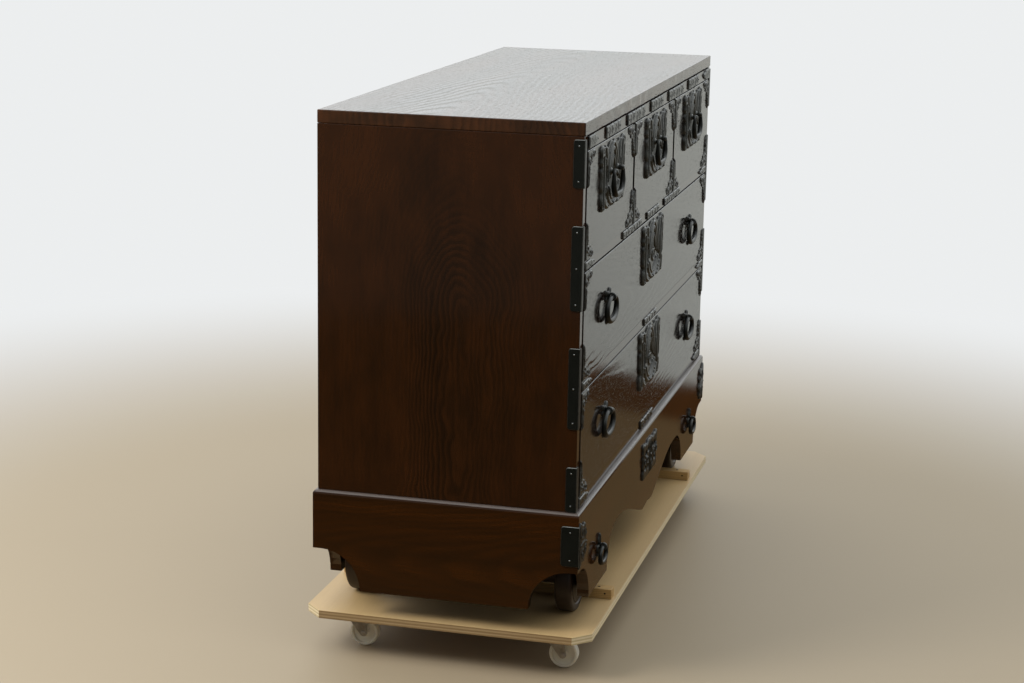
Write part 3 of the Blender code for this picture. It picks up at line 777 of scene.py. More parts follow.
TRIM_NAIL = NailHead(0.0016, 10, ((1.0, 0.0), (0.9, 0.35), (0.5, 0.65), (0.0, 0.75)))
PLATE_NAIL = NailHead(0.0022, 12, ((1.0, 0.0), (0.9, 0.4), (0.5, 0.75), (0.0, 0.85)))
STRAP_NAIL = NailHead(0.0016, 14, ((0.0, 0.55), (0.55, 0.45), (0.9, 0.2), (1.0, 0.0)))


def add_tube(bm: Shape, path: Sequence[Vector], radii: Sequence[float], sides: int,
             closed: bool = False) -> None:
    """Add a round bar swept along a path.

    Args:
        bm: The shape to add to.
        path: Points of its middle line.
        radii: Its radius at each point.
        sides: Facets round it.
        closed: Whether the path closes on itself.
    """
    count = len(path)
    loops = []
    normal = None
    for step, point in enumerate(path):
        before = path[step - 1] if closed or step else point
        after = path[(step + 1) % count] if closed or step < count - 1 else point
        tangent = (after - before).normalized()
        normal = tangent.orthogonal() if normal is None else normal - tangent * normal.dot(tangent)
        normal.normalize()
        side = tangent.cross(normal)
        loop = []
        for facet in range(sides):
            angle = math.tau * facet / sides
            loop.append(bm.verts.new(point + (normal * math.cos(angle) + side * math.sin(angle)) * radii[step]))
        loops.append(loop)
    for lower, upper in zip(loops, loops[1:] + loops[:1] if closed else loops[1:]):
        bridge(bm, lower, upper)
    if not closed:
        bm.faces.new(loops[0])
        bm.faces.new(loops[-1])


def arc(centre: Point, radius: float, start: float, end: float, steps: int) -> list[Point]:
    """Points along an arc between two angles in degrees, in a number of straight runs."""
    angles = [math.radians(start + (end - start) * step / steps) for step in range(steps + 1)]
    return [(centre[0] + radius * math.cos(a), centre[1] + radius * math.sin(a)) for a in angles]


def rounded(low: Point, high: Point, radii: Sequence[float], steps: int = 5) -> list[Point]:
    """A rectangle with its own radius at each corner.

    Args:
        low: Lowest corner.
        high: Highest corner.
        radii: Radii from the low corner, counter-clockwise.
        steps: Runs along each corner.

    Returns:
        The outline.
    """
    corners = ((low[0], low[1], 1, 1, 180), (high[0], low[1], -1, 1, 270),
               (high[0], high[1], -1, -1, 0), (low[0], high[1], 1, -1, 90))
    points: list[Point] = []
    for (u, v, du, dv, turn), radius in zip(corners, radii):
        if radius:
            points += arc((u + du * radius, v + dv * radius), radius, turn, turn + 90, steps)
        else:
            points.append((u, v))
    return points


@dataclass
class Stroke:
    """A raised line of a casting's relief."""

    points: np.ndarray
    widths: np.ndarray
    rise: float

    def mirrored(self) -> "Stroke":
        """The same stroke on the other side of the middle."""
        return Stroke(self.points * (-1, 1), self.widths, self.rise)


def scroll(centre: Point, radius: float, turns: float, start: float, width: float, rise: float) -> Stroke:
    """A scroll that winds in to its eye.

    Args:
        centre: The eye.
        radius: Outer radius.
        turns: How many turns; negative winds the other way.
        start: Outer end's angle in degrees.
        width: Half width at the outer end.
        rise: Height.

    Returns:
        The stroke.
    """
    share = np.linspace(0.0, 1.0, max(24, int(abs(turns) * 60)))
    reach = radius * ((1 - share) ** 0.85 + 0.08)
    angle = math.radians(start) + turns * math.tau * share
    points = np.stack([centre[0] + reach * np.cos(angle), centre[1] + reach * np.sin(angle)], 1)
    return Stroke(points, width * (1 - 0.45 * share), rise)


def stem(start: Point, bend: Point, end: Point, width: float, rise: float, taper: float = 0.35) -> Stroke:
    """A leaf-like line from one point to another.

    Args:
        start: Its root.
        bend: The point that it bends towards.
        end: Its tip.
        width: Half width at its fullest.
        rise: Height.
        taper: Share of the width that is left at the tip.

    Returns:
        The stroke.
    """
    share = np.linspace(0.0, 1.0, 40)[:, None]
    points = (1 - share) ** 2 * np.array(start) + 2 * share * (1 - share) * np.array(bend)
    points = points + share ** 2 * np.array(end)
    swell = taper + (1 - taper) * np.sin(math.pi * np.clip(share[:, 0] * 0.9 + 0.1, 0, 1))
    return Stroke(points, width * swell, rise)


def inside(points: np.ndarray, outline: np.ndarray) -> np.ndarray:
    """Which points lie in an outline.

    Args:
        points: Points to test.
        outline: The closed outline.

    Returns:
        True for each point inside.
    """
    after = np.roll(outline, -1, axis=0)
    v = points[:, 1][:, None]
    spans = (outline[:, 1] > v) != (after[:, 1] > v)
    rise = np.where(np.abs(after[:, 1] - outline[:, 1]) < 1e-12, 1e-12, after[:, 1] - outline[:, 1])
    cross = outline[:, 0] + (v - outline[:, 1]) * (after[:, 0] - outline[:, 0]) / rise
    return (np.sum(spans & (points[:, 0][:, None] < cross), axis=1) % 2) == 1


def reach_to(points: np.ndarray, outline: np.ndarray) -> np.ndarray:
    """How far points are from an outline.

    Args:
        points: Points to test.
        outline: The closed outline.

    Returns:
        Each point's distance.
    """
    along = np.roll(outline, -1, axis=0) - outline
    from_start = points[:, None, :] - outline[None, :, :]
    share = np.sum(from_start * along, axis=2) / np.maximum(np.sum(along * along, axis=1), 1e-12)
    nearest = from_start - np.clip(share, 0, 1)[:, :, None] * along
    return np.sqrt(np.min(np.sum(nearest * nearest, axis=2), axis=1))


def spaced(outline: Sequence[Point], gap: float) -> np.ndarray:
    """An outline with its points about evenly spaced.

    Args:
        outline: The closed outline.
        gap: Wanted spacing.

    Returns:
        The new outline.
    """
    points = np.array(outline, float)
    points = np.vstack([points, points[:1]])
    lengths = np.concatenate([[0], np.cumsum(np.linalg.norm(np.diff(points, axis=0), axis=1))])
    count = max(8, int(round(lengths[-1] / gap)))
    at = np.arange(count) * lengths[-1] / count
    return np.stack([np.interp(at, lengths, points[:, 0]), np.interp(at, lengths, points[:, 1])], 1)


@dataclass
class Casting:
    """A thin iron casting that faces the front: outline, strokes of relief, cut-outs and nails, in metres."""

    outline: Sequence[Point]
    strokes: Sequence[Stroke] = ()
    holes: Sequence[Sequence[Point]] = ()
    edge: float = 0.0026
    crown: float = 0.0001
    crown_reach: float = 0.006
    cap: float = 0.0068
    grid: float = 0.0017
    nails: Sequence[Point] = ()
    head: NailHead = TRIM_NAIL
    sunk: float = HAIR

    # Which triangles the triangulation gives back, and how close two points may be.
    CDT_HULL = 0
    CDT_INSIDE_WITH_HOLES = 4
    CDT_CLOSE = 1e-7

    def heights(self, points: np.ndarray, borders: Sequence[np.ndarray]) -> np.ndarray:
        """How proud the front stands.

        Args:
            points: Where it is read.
            borders: The outline and the cut-outs.

        Returns:
            The height at each point.
        """
        away = np.min([reach_to(points, border) for border in borders], axis=0)
        share = np.clip(away / self.crown_reach, 0, 1)
        height = self.edge * np.clip(0.55 + away / self.grid, 0, 1) + self.crown * share * (2 - share)
        bead = np.zeros(len(points))
        for stroke in self.strokes:
            apart = np.linalg.norm(points[:, None, :] - stroke.points[None, :, :], axis=2) / stroke.widths
            near = np.min(apart, axis=1)
            bead = np.maximum(bead, stroke.rise * np.sqrt(np.clip(1 - near ** 2, 0, 1)))
        return np.minimum(height + bead * np.clip(away / (1.2 * self.grid), 0.15, 1), self.cap)

    def form(self, bm: Shape, origin: Vector, flip: tuple[int, int] = (1, 1)) -> None:
        """Add the casting to a shape, its back on the origin's plane.

        Args:
            bm: The shape to add to.
            origin: Where the outline's (0, 0) goes.
            flip: Signs that mirror it along X and Z.
        """
        borders = [spaced(loop, self.grid) for loop in (self.outline, *self.holes)]
        low, high = borders[0].min(0), borders[0].max(0)
        rows = np.arange(low[1] + self.grid / 2, high[1], self.grid * 0.87)
        grid = [(u + self.grid / 2 * (row % 2), v) for row, v in enumerate(rows)
                for u in np.arange(low[0] + self.grid / 2, high[0], self.grid)]
        field_points = np.array(grid).reshape(-1, 2)
        keep = self._solid(field_points, borders)
        keep &= np.min([reach_to(field_points, border) for border in borders], axis=0) > 0.55 * self.grid
        loops, start = [], 0
        for border in borders:
            loops += [(start + step, start + (step + 1) % len(border)) for step in range(len(border))]
            start += len(border)
        points = np.vstack([*borders, field_points[keep]])
        flat, _, faces, *_ = delaunay_2d_cdt([Vector(point) for point in points], loops, [], self.CDT_HULL,
                                             self.CDT_CLOSE)
        spots = np.array([tuple(point) for point in flat])
        middles = np.array([spots[list(face)].mean(0) for face in faces])
        faces = [face for face, good in zip(faces, self._solid(middles, borders)) if good]
        self._skin(bm, spots, self.heights(spots, borders), faces, origin, flip)
        for u, v in self.nails:
            foot = origin + Vector((flip[0] * u, self.sunk - self.edge, flip[1] * v))
            self.head.add(bm, Matrix.Translation(foot) @ TO_FRONT)

    def _solid(self, points: np.ndarray, borders: Sequence[np.ndarray]) -> np.ndarray:
        """Which points lie on the iron.

        Args:
            points: Points to test.
            borders: The outline and the cut-outs.

        Returns:
            True for each point on the iron.
        """
        keep = inside(points, borders[0])
        for border in borders[1:]:
            keep &= ~inside(points, border)
        return keep

    def _skin(self, bm: Shape, spots: np.ndarray, heights: np.ndarray,
              faces: Sequence[Sequence[int]], origin: Vector, flip: tuple[int, int]) -> None:
        """Add the front, the edges and the flat back.

        Args:
            bm: The shape to add to.
            spots: Points of the front.
            heights: How proud each one stands.
            faces: Triangles of the front.
            origin: Where (0, 0) goes.
            flip: Signs that mirror it along X and Z.
        """
        front = [bm.verts.new(origin + Vector((flip[0] * u, -height, flip[1] * v)))
                 for (u, v), height in zip(spots, heights)]
        sides: dict[frozenset[int], int] = {}
        for face in faces:
            bm.faces.new([front[place] for place in face])
            for step in range(len(face)):
                side = frozenset((face[step], face[(step + 1) % len(face)]))
                sides[side] = sides.get(side, 0) + 1
        edges = [tuple(side) for side, uses in sides.items() if uses == 1]
        rim = sorted({place for edge in edges for place in edge})
        order = {place: count for count, place in enumerate(rim)}
        back = [bm.verts.new(origin + Vector((flip[0] * u, 0, flip[1] * v))) for u, v in spots[rim]]
        for first, second in edges:
            bm.faces.new((front[first], front[second], back[order[second]], back[order[first]]))
        rim_edges = [(order[first], order[second]) for first, second in edges]
        _, _, under, *_ = delaunay_2d_cdt([Vector(spot) for spot in spots[rim]], rim_edges, [],
                                          self.CDT_INSIDE_WITH_HOLES, self.CDT_CLOSE)
        for face in under:
            if max(face) < len(back):
                bm.faces.new([back[place] for place in face])
        loose = [vert for vert in front if not vert.link_faces]
        bmesh.ops.delete(bm, geom=loose, context="VERTS")


def lobed(width: float, height: float, lobes: int, scallop: float, power: float, steps: int = 10) -> list[Point]:
    """A rounded outline with scalloped lobes.

    Args:
        width: Full width.
        height: Full height.
        lobes: How many lobes.
        scallop: How far they swell.
        power: How square the outline is; 2 is an ellipse.
        steps: Points along each lobe.

    Returns:
        The outline.
    """
    angles = np.linspace(0, math.tau, 721)[:-1]
    across, up = np.sin(angles), np.cos(angles)
    raw = np.stack([np.sign(across) * np.abs(across) ** (2 / power) * (width / 2 - scallop),
                    np.sign(up) * np.abs(up) ** (2 / power) * (height / 2 - scallop)], 1)
    round_it = np.sum(np.linalg.norm(np.diff(raw, axis=0), axis=1))
    even = spaced([tuple(point) for point in raw], round_it / (lobes * steps))
    along = np.roll(even, -1, axis=0) - np.roll(even, 1, axis=0)
    outward = np.stack([-along[:, 1], along[:, 0]], 1) / np.linalg.norm(along, axis=1)[:, None]
    share = np.arange(len(even)) / len(even)
    swell = scallop * np.abs(np.sin(math.pi * (lobes * share + 0.5)))
    return [tuple(point) for point in even + outward * swell[:, None]]


def flowing(points: Sequence[Point], steps: int = 5) -> list[Point]:
    """A closed curve that flows through points.

    Args:
        points: The points, in order.
        steps: Runs between two of them.

    Returns:
        The curve's points.
    """
    knots = np.array(points, float)
    before, after, beyond = (np.roll(knots, shift, axis=0) for shift in (1, -1, -2))
    curve = []
    for share in np.arange(steps) / steps:
        square, cube = share ** 2, share ** 3
        curve.append(0.5 * (2 * knots + (after - before) * share
                            + (2 * before - 5 * knots + 4 * after - beyond) * square
                            + (3 * knots - before - 3 * after + beyond) * cube))
    return [tuple(point) for point in np.stack(curve, axis=1).reshape(-1, 2)]


def both_halves(half: Sequence[Point]) -> list[Point]:
    """A whole outline from its right half, which starts and ends on the middle line."""
    return list(half) + [(-u, v) for u, v in reversed(half[1:-1])]


def mm(*numbers: float) -> tuple[float, ...]:
    """Millimetres to metres."""
    return tuple(number / 1000 for number in numbers)


def upward(u: float, v: float, depth: float) -> Vector:
    """A level outline's point, drawn out along Z."""
    return Vector((u, v, depth))


def back_middle(node: str) -> Vector:
    """The middle of a fitting's back."""
    low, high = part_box(node)
    return Vector(((low.x + high.x) / 2, high.y, (low.z + high.z) / 2))


@dataclass(frozen=True)
class Lamp:
    """A large soft lamp: its side in metres and its power in watts."""

    name: str
    place: tuple[float, float, float]
    size: float
    power: float


@dataclass
class Studio:
    """Floor, light and the camera of the photograph's view."""

    camera_place: tuple[float, float, float] = (-3.92124, -0.96482, 1.37648)
    azimuth: float = -75.608
    elevation: float = 13.048
    roll: float = 1.0432
    focal_px: float = 2170.574
    image_width_px: float = 1024.0
    sensor_mm: float = 36.0
    floor_radius: float = 3.4
    floor_tint: Colour = (0.285, 0.225, 0.148)
    floor_cloud: Colour = (0.345, 0.28, 0.20)
    floor_pales: Point = (1.0, 2.7)
    # Painted reflection for glossy rays: the glowing colours of a dark floor and of a skirting band past a slanted
    # line, where the band starts and where it clears, the line's slant and shift, and how the glow fades along X.
    painted_floor_reflection: Colour = (0.157, 0.104, 0.050)
    painted_skirting_reflection: Colour = (0.070, 0.030, 0.010)
    skirting_starts: Point = (1.13, 1.25)
    skirting_ends: Point = (1.47, 1.64)
    wall_slant: float = 0.42
    wall_shift: float = 0.21
    mirror_dims: Span = (-1.6, -0.2, 0.15, 1.0)
    white: Colour = (0.84, 0.855, 0.86)
    room_along: Span = (-0.25, 0.75, 0.10, 0.70)
    room_below: Span = (-0.30, -0.08, 0.70, 1.0)
    room_above: Span = (0.02, 0.24, 1.0, 2.42)
    room_overhead: Span = (0.45, 0.85, 0.0, 1.6)
    tint_turns: Point = (-0.05, 0.15)
    tint_low: Colour = (0.98, 1.0, 0.93)
    tint_high: Colour = (0.94, 0.985, 1.0)
    lamps: tuple[Lamp, ...] = (Lamp("key", (-1.6, 3.6, 3.1), 3.0, 95.0),
                               Lamp("front", (-2.2, -3.4, 2.4), 2.6, 10.0),
                               Lamp("side", (-1.9, 1.6, 2.1), 1.0, 48.0))
    lamps_aim: tuple[float, float, float] = (0.0, 0.0, 0.5)

    def build(self) -> None:
        """Set up the whole studio."""
        self.camera()
        self.floor()
        self.world()
        for lamp in self.lamps:
            self.hang(lamp)
        bpy.context.scene.view_settings.view_transform = "Standard"

    def camera(self) -> None:
        """Place the camera that was solved from the photograph."""
        a, e, r = (math.radians(value) for value in (self.azimuth, self.elevation, self.roll))
        back = Vector((math.sin(a) * math.cos(e), -math.cos(a) * math.cos(e), math.sin(e)))
        right = (-back).cross(Vector((0, 0, 1))).normalized()
        up = right.cross(-back)
        tilted = (right * math.cos(r) + up * math.sin(r), up * math.cos(r) - right * math.sin(r))
        data = bpy.data.cameras.new("camera")
        data.sensor_width = self.sensor_mm
        data.lens = self.focal_px * self.sensor_mm / self.image_width_px
        data.dof.use_dof = False
        camera = bpy.data.objects.new("camera", data)
        camera.matrix_world = Matrix((tilted[0], tilted[1], back)).transposed().to_4x4()
        camera.location = self.camera_place
        bpy.context.scene.collection.objects.link(camera)
        bpy.context.scene.camera = camera

    def floor(self) -> None:
        """Lay a plain pale floor that pales away from the chest, and that glossy rays see as a glowing painted
        reflection of a dark floor and a skirting band.
        """
        bm = bmesh.new()
        bmesh.ops.create_circle(bm, cap_ends=True, segments=96, radius=self.floor_radius)
        floor = new_piece("floor", bm, None)
        board = material_board("floor")
        x, y, _ = board.parts(board.place())
        away = board.calc("SQRT", board.calc("ADD", board.calc("MULTIPLY", x, x), board.calc("MULTIPLY", y, y)))
        cloud = board.noise(board.vector(x, y, 0.0), 3.0, 3.0)
        tint = board.mix(board.calc("MULTIPLY", cloud, 0.12), self.floor_tint, self.floor_cloud)
        board.set(Base_Color=tint, Roughness=0.55, Specular_IOR_Level=0.25)
        rays = board.nodes.new("ShaderNodeLightPath")
        glow = board.lay("Emission", ((*self.white, 1.0),))
        # Glossy rays see a painted reflection that glows: a dark floor colour, a darker skirting band past a
        # slanted line, then clear to the room.
        beyond = board.calc("MULTIPLY_ADD", y, self.wall_slant, board.calc("ADD", x, self.wall_shift))
        band = board.mix(board.span(beyond, *self.skirting_starts), self.painted_floor_reflection, self.painted_skirting_reflection)
        dim = board.lay("Emission", (band, board.span(x, *self.mirror_dims)))
        pale = board.calc("MULTIPLY", board.span(away, *self.floor_pales), rays.outputs["Is Camera Ray"])
        seen = board.blend(pale, board.shader.outputs[0], glow)
        mirrored = board.blend(board.span(beyond, *self.skirting_ends), dim, board.lay("BsdfTransparent", ()))
        whole = board.blend(rays.outputs["Is Glossy Ray"], seen, mirrored)
        board.feed(board.nodes["Material Output"].inputs["Surface"], whole)
        floor.data.materials.append(board.owner)

    def world(self) -> None:
        """A pale room: bright beyond the chest and above it, dim behind the camera."""
        world = bpy.data.worlds.new("room")
        bpy.context.scene.world = world
        board = NodeBoard(world)
        x, _, z = board.parts(board.place("Generated"))
        level = board.calc("MULTIPLY", board.span(x, *self.room_along), board.span(z, *self.room_below))
        level = board.calc("MULTIPLY", level, board.span(z, *self.room_above))
        level = board.calc("MAXIMUM", level, board.span(z, *self.room_overhead))
        room = board.nodes["Background"]
        board.feed(room.inputs["Strength"], level)
        tint = board.mix(board.span(z, *self.tint_turns), self.tint_low, self.tint_high)
        board.feed(room.inputs["Color"], tint)
        plain = board.lay("Background", ((*self.white, 1.0),))
        rays = board.nodes.new("ShaderNodeLightPath")
        whole = board.blend(rays.outputs["Is Camera Ray"], room.outputs[0], plain)
        board.feed(board.nodes["World Output"].inputs["Surface"], whole)

    def hang(self, lamp: Lamp) -> None:
        """Hang a lamp that looks at the chest and isn't mirrored in it.

        Args:
            lamp: The lamp.
        """
        data = bpy.data.lights.new(lamp.name, "AREA")
        data.size = lamp.size
        data.energy = lamp.power
        holder = bpy.data.objects.new(lamp.name, data)
        holder.location = lamp.place
        holder.rotation_euler = (Vector(self.lamps_aim) - Vector(lamp.place)).to_track_quat("-Z", "Y").to_euler()
        holder.visible_glossy = False
        bpy.context.scene.collection.objects.link(holder)


@dataclass
class Assembly:
    """A group of pieces that are built together."""

    shop: Workshop

    @property
    def palette(self) -> Palette:
        """The finishes."""
        return self.shop.palette

    def build(self) -> None:
        """Build the pieces; each assembly has its own way."""
        raise NotImplementedError

    def cast(self, name: str, casting: Casting, spot: Vector, finish: Finish, flip: tuple[int, int] = (1, 1),
             body: str = CHEST, smooth: float = CAST_SMOOTH, stands_for: Sequence[str] = ()) -> None:
        """Make an iron casting.

        Args:
            name: The piece's name.
            casting: The casting.
            spot: Where its (0, 0) goes.
            finish: Its iron.
            flip: Signs that mirror it along X and Z.
            body: The body it moves with.
            smooth: Edges flatter than this many degrees are shaded smooth.
            stands_for: CAD nodes that it replaces.
        """
        bm = bmesh.new()
        casting.form(bm, spot, flip)
        self.shop.add(name, bm, body, "iron", finish, smooth=smooth, stands_for=stands_for)


@dataclass
class Carcass(Assembly):
    """The lacquered box: boards with their own grain, and a planked back."""

    edge: float = 0.0008
    rail_gap: float = 0.0018
    planks: int = 6
    plank_groove: float = 0.003
    plank_groove_depth: float = 0.002

    def build(self) -> None:
        """Dress the boards and make the back."""
        palette = self.palette
        # The top's lacquer is 2.2 times lighter than usual: painted light that stands in for the light its edges
        # catch from above.
        top = palette.lacquer("top", Axis.X, Axis.Y, 2.2, heart=0.04, seed=2.0, ring_share=0.15, ring_relief=4.5,
                              pore_strength=0.5, pore_depth=0.00022)
        self.shop.dress("top_board", top)
        arch = {"heart": -0.025, "eye": 0.61, "ring": 0.0072, "slope": 0.50, "heart_depth": 0.012, "wander": 0.070,
                "swirl": 0.044, "figure_half": 0.085, "ring_share": 0.30, "streak_share": 0.45,
                "streak_stretch": 0.4, "blotch_share": 0.60}
        for side, seed in (("left", 0.6), ("right", 7.3)):
            arched = palette.lacquer(side + "_side", Axis.Z, Axis.Y, 1.10, -0.10, seed=seed, **arch)
            self.board(side + "_side", SETBACK, arched)
            self.shop.dress(side + "_divider", palette.lacquer(side + "_divider", Axis.Z, Axis.Y, seed=seed + 1))
        for (node, share), seed in zip(SHELVES.items(), (5.5, 6.6, 8.8)):
            self.board(node, SETBACK * share, palette.lacquer(node, Axis.X, Axis.Z, seed=seed))
        self.board("top_rail", Vector(), palette.lacquer("top_rail", Axis.X, Axis.Z, seed=4.4), self.rail_gap)
        self.back()

    def board(self, node: str, setback: Vector, finish: Finish, gap: float = 0.0) -> None:
        """Make a board with softened edges.

        Args:
            node: The CAD node that it stands for.
            setback: How far its front edge lies behind the drawer fronts.
            finish: Its lacquer.
            gap: How far its top stays below what lies over it.
        """
        low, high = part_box(node)
        bm = bmesh.new()
        add_box(bm, low + setback, high - Vector((0, 0, gap)), self.edge)
        self.shop.add(node + "_planed", bm, CHEST, "lacquer", finish, smooth=None, stands_for=(node,))

    def back(self) -> None:
        """Make the back from upright planks with grooves between them."""
        low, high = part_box("back_panel")
        width = (high.x - low.x) / self.planks
        bm = bmesh.new()
        for step in range(self.planks):
            left = low.x + step * width
            groove, depth = self.plank_groove / 2, self.plank_groove_depth
            outline = [(left, low.y), (left + width, low.y), (left + width, high.y - depth),
                       (left + width - groove, high.y), (left + groove, high.y), (left, high.y - depth)]
            add_prism(bm, outline, low.z, high.z, upward)
        finish = self.palette.lacquer("back", Axis.Z, Axis.X, seed=9.1, roughness=0.34, heart=0.1)
        self.shop.add("back_planks", bm, CHEST, "lacquer", finish, smooth=None, stands_for=("back_panel",))


@dataclass
class WheeledBase(Assembly):
    """The shaped base boards, its axles and its turned wheels."""

    wheel_radius: float = 0.062
    wheel_width: float = 0.030
    wheel_bore: float = 0.0124
    hub_radius: float = 0.024
    hub_proud: float = 0.004
    groove_radius: float = 0.047
    rounding: float = 0.006

    def build(self) -> None:
        """Dress the boards and make the wheels."""
        palette = self.palette
        warm = {"lift": 1.35, "grey": -0.25, "roughness": 0.11, "dust": 0.5, "ring_share": 0.09, "swirl": 0.012}
        for name, seed in (("front", 1.3), ("back", 3.8)):
            apron = palette.lacquer(f"base_{name}", Axis.X, Axis.Z, seed=seed, **warm)
            self.shop.dress(f"base_{name}_apron", apron)
        dark = palette.bare("axle", Axis.Y, Axis.X, (0.030, 0.017, 0.011), roughness=0.5)
        for name, seed in (("left", 5.2), ("right", 6.1)):
            panel = palette.lacquer(f"base_{name}", Axis.Y, Axis.Z, seed=seed, heart=0.19, ring=0.009, **warm)
            self.shop.dress(f"base_{name}_panel", panel)
            self.shop.dress(name + "_axle", dark)
        for place, outward in (("front", -1), ("back", 1)):
            for side in ("left", "right"):
                self.wheel(f"wooden_wheel_{place}_{side}", outward)

    def wheel(self, node: str, outward: int) -> None:
        """Turn one wheel.

        Args:
            node: The CAD node that it stands for.
            outward: Which way along Y its hub looks.
        """
        half, hub = self.wheel_width / 2, self.wheel_width / 2 + self.hub_proud
        radius, bore, groove = self.wheel_radius, self.wheel_bore, self.groove_radius
        back = [(bore, -half)] + [(radius + u, v - half) for u, v in
                                  arc((-self.rounding, self.rounding), self.rounding, 270, 360, 6)]
        rim = [(radius + u, v + half) for u, v in arc((-self.rounding, -self.rounding), self.rounding, 0, 90, 6)]
        face = [(groove + 0.002, half), (groove + 0.0008, half - 0.0014), (groove - 0.0008, half - 0.0014),
                (groove - 0.002, half), (self.hub_radius + 0.002, half), (self.hub_radius, half + 0.001)]
        crown = [(self.hub_radius - 0.002, hub - 0.001), (self.hub_radius - 0.004, hub), (bore + 0.001, hub),
                 (bore, hub - 0.001)]
        bm = bmesh.new()
        turn = Matrix.Rotation(-outward * math.pi / 2, 4, "X")
        place = Matrix.Translation(self.shop.pivot(node + "_turn")) @ turn
        add_turned(bm, back + rim + face + crown, 72, place, closed=True)
        finish = self.palette.bare("wheel", Axis.Z, Axis.X, (0.0165, 0.0085, 0.0055), roughness=0.42, ring=0.008)
        self.shop.add(node + "_turned", bm, node, "wheel_wood", finish, stands_for=(node,))


@dataclass(frozen=True)
class StrapPlace:
    """Where one corner strap lies on the side, and its nails."""

    low: float
    high: float
    nails: int


@dataclass
class CornerStraps(Assembly):
    """Iron straps that wrap the front corners of the chest and its base, with bright nails."""

    places: tuple[StrapPlace, ...] = (StrapPlace(0.837, 0.915, 2), StrapPlace(0.637, 0.776, 3),
                                      StrapPlace(0.440, 0.576, 3), StrapPlace(0.2995, 0.376, 2))
    base_place: StrapPlace = StrapPlace(0.208, 0.277, 2)
    leg: float = 0.0170
    base_leg: float = 0.0295
    thick: float = 0.0026
    wrap: float = 0.0020
    worn: float = 0.0008
    corner: float = 0.0045
    front_corner: float = 0.0012
    nail_margin: float = 0.0105
    nail_back: float = 0.47
    arm: float = 0.0105
    arm_corners: tuple[float, ...] = (0.004, 0.0008, 0.0008, 0.004)
    base_wing: Points = (
        (0, 35), (16, 35), (24, 31), (34, 34), (44, 28), (42, 20), (50, 12), (46, 4), (54, -6), (46, -14),
        (48, -24), (38, -28), (32, -35), (20, -31), (10, -36), (0, -35))
    base_curls: Rows = (
        (16, 20, 0.0095, 1.4, 200, 0.0020), (36, 18, 0.0080, -1.4, 20, 0.0018),
        (18, -18, 0.0095, -1.4, 160, 0.0020), (38, -14, 0.0080, 1.4, 20, 0.0018))

    def build(self) -> None:
        """Make the straps of both ends."""
        chest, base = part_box("left_side")[0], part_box("base_left_panel")[0]
        for name, side in (("left", -1), ("right", 1)):
            nails = bmesh.new()
            for count, place in enumerate(self.places):
                self.strap(f"corner_strap_{name}_{count + 1}", side, abs(chest.x), chest.y + SETBACK.y, place,
                           self.leg, nails)
            self.strap(f"base_strap_{name}", side, abs(base.x), base.y, self.base_place, self.base_leg, nails)
            self.base_corner(f"base_corner_{name}", side, abs(base.x), base.y)
            self.shop.add(f"strap_nails_{name}", nails, CHEST, "iron", self.palette.nail)

    def base_corner(self, name: str, side: int, face_x: float, front_y: float) -> None:
        """Fix the leafy casting at the base's front corner.

        Args:
            name: The piece's name.
            side: -1 for the left end and 1 for the right one.
            face_x: How far out the end board's face is.
            front_y: Where the front face is.
        """
        outline = flowing([mm(*point) for point in self.base_wing], 3)
        strokes = [scroll(mm(u, v), radius, turns, start, width, 0.0014)
                   for u, v, radius, turns, start, width in self.base_curls]
        strokes.append(stem(mm(3, 0), mm(24, 6), mm(50, -4), 0.0024, 0.0016))
        middle = (self.base_place.low + self.base_place.high) / 2
        spot = Vector((side * (face_x - 0.001), front_y - HAIR, middle))
        casting = Casting(outline, strokes, edge=0.0024, crown=0.0006, grid=0.0019)
        self.cast(name, casting, spot, self.palette.forged_iron, (-side, 1))

    def strap(self, name: str, side: int, face_x: float, front_y: float, place: StrapPlace, leg: float,
              nails: Shape) -> None:
        """Make one strap with its leg on the side and its edge on the front.

        Args:
            name: The piece's name.
            side: -1 for the left end and 1 for the right one.
            face_x: How far out the end board's face is.
            front_y: Where the front face is.
            place: The strap's heights and nails.
            leg: How far it reaches back along the side.
            nails: The shape that its nails are added to.
        """
        bm = bmesh.new()
        loops = []
        for inset, out in ((0.0, HAIR), (0.0, self.thick - self.worn), (self.worn, self.thick)):
            radii = [radius - inset for radius in (self.front_corner, self.corner, self.corner, self.front_corner)]
            outline = rounded((front_y - self.wrap + inset, place.low + inset),
                              (front_y + leg - inset, place.high - inset), radii)
            loops.append([bm.verts.new((side * (face_x + out), u, v)) for u, v in outline])
        bm.faces.new(loops[0])
        bm.faces.new(loops[-1])
        for rim, (lower, upper) in enumerate(zip(loops, loops[1:])):
            for face in bridge(bm, lower, upper):
                face.material_index = rim
        arm = rounded((face_x - self.arm, place.low), (face_x + self.thick * 0.6, place.high), self.arm_corners)
        known = set(bm.faces)
        add_prism(bm, [(side * u, v) for u, v in arm], front_y - self.wrap, front_y - HAIR,
                  lambda u, v, d: Vector((u, d, v)), soften=0.0005)
        for face in set(bm.faces) - known:
            face.material_index = 2
        palette = self.palette
        self.shop.add(name, bm, CHEST, "iron", palette.strap_iron, palette.worn_edge, palette.forged_iron,
                      smooth=None)
        outward = Matrix.Rotation(side * math.pi / 2, 4, "Y")
        for height in np.linspace(place.high - self.nail_margin, place.low + self.nail_margin, place.nails):
            spot = Vector((side * (face_x + self.thick - HAIR), front_y + leg * self.nail_back, height))
            STRAP_NAIL.add(nails, Matrix.Translation(spot) @ outward)


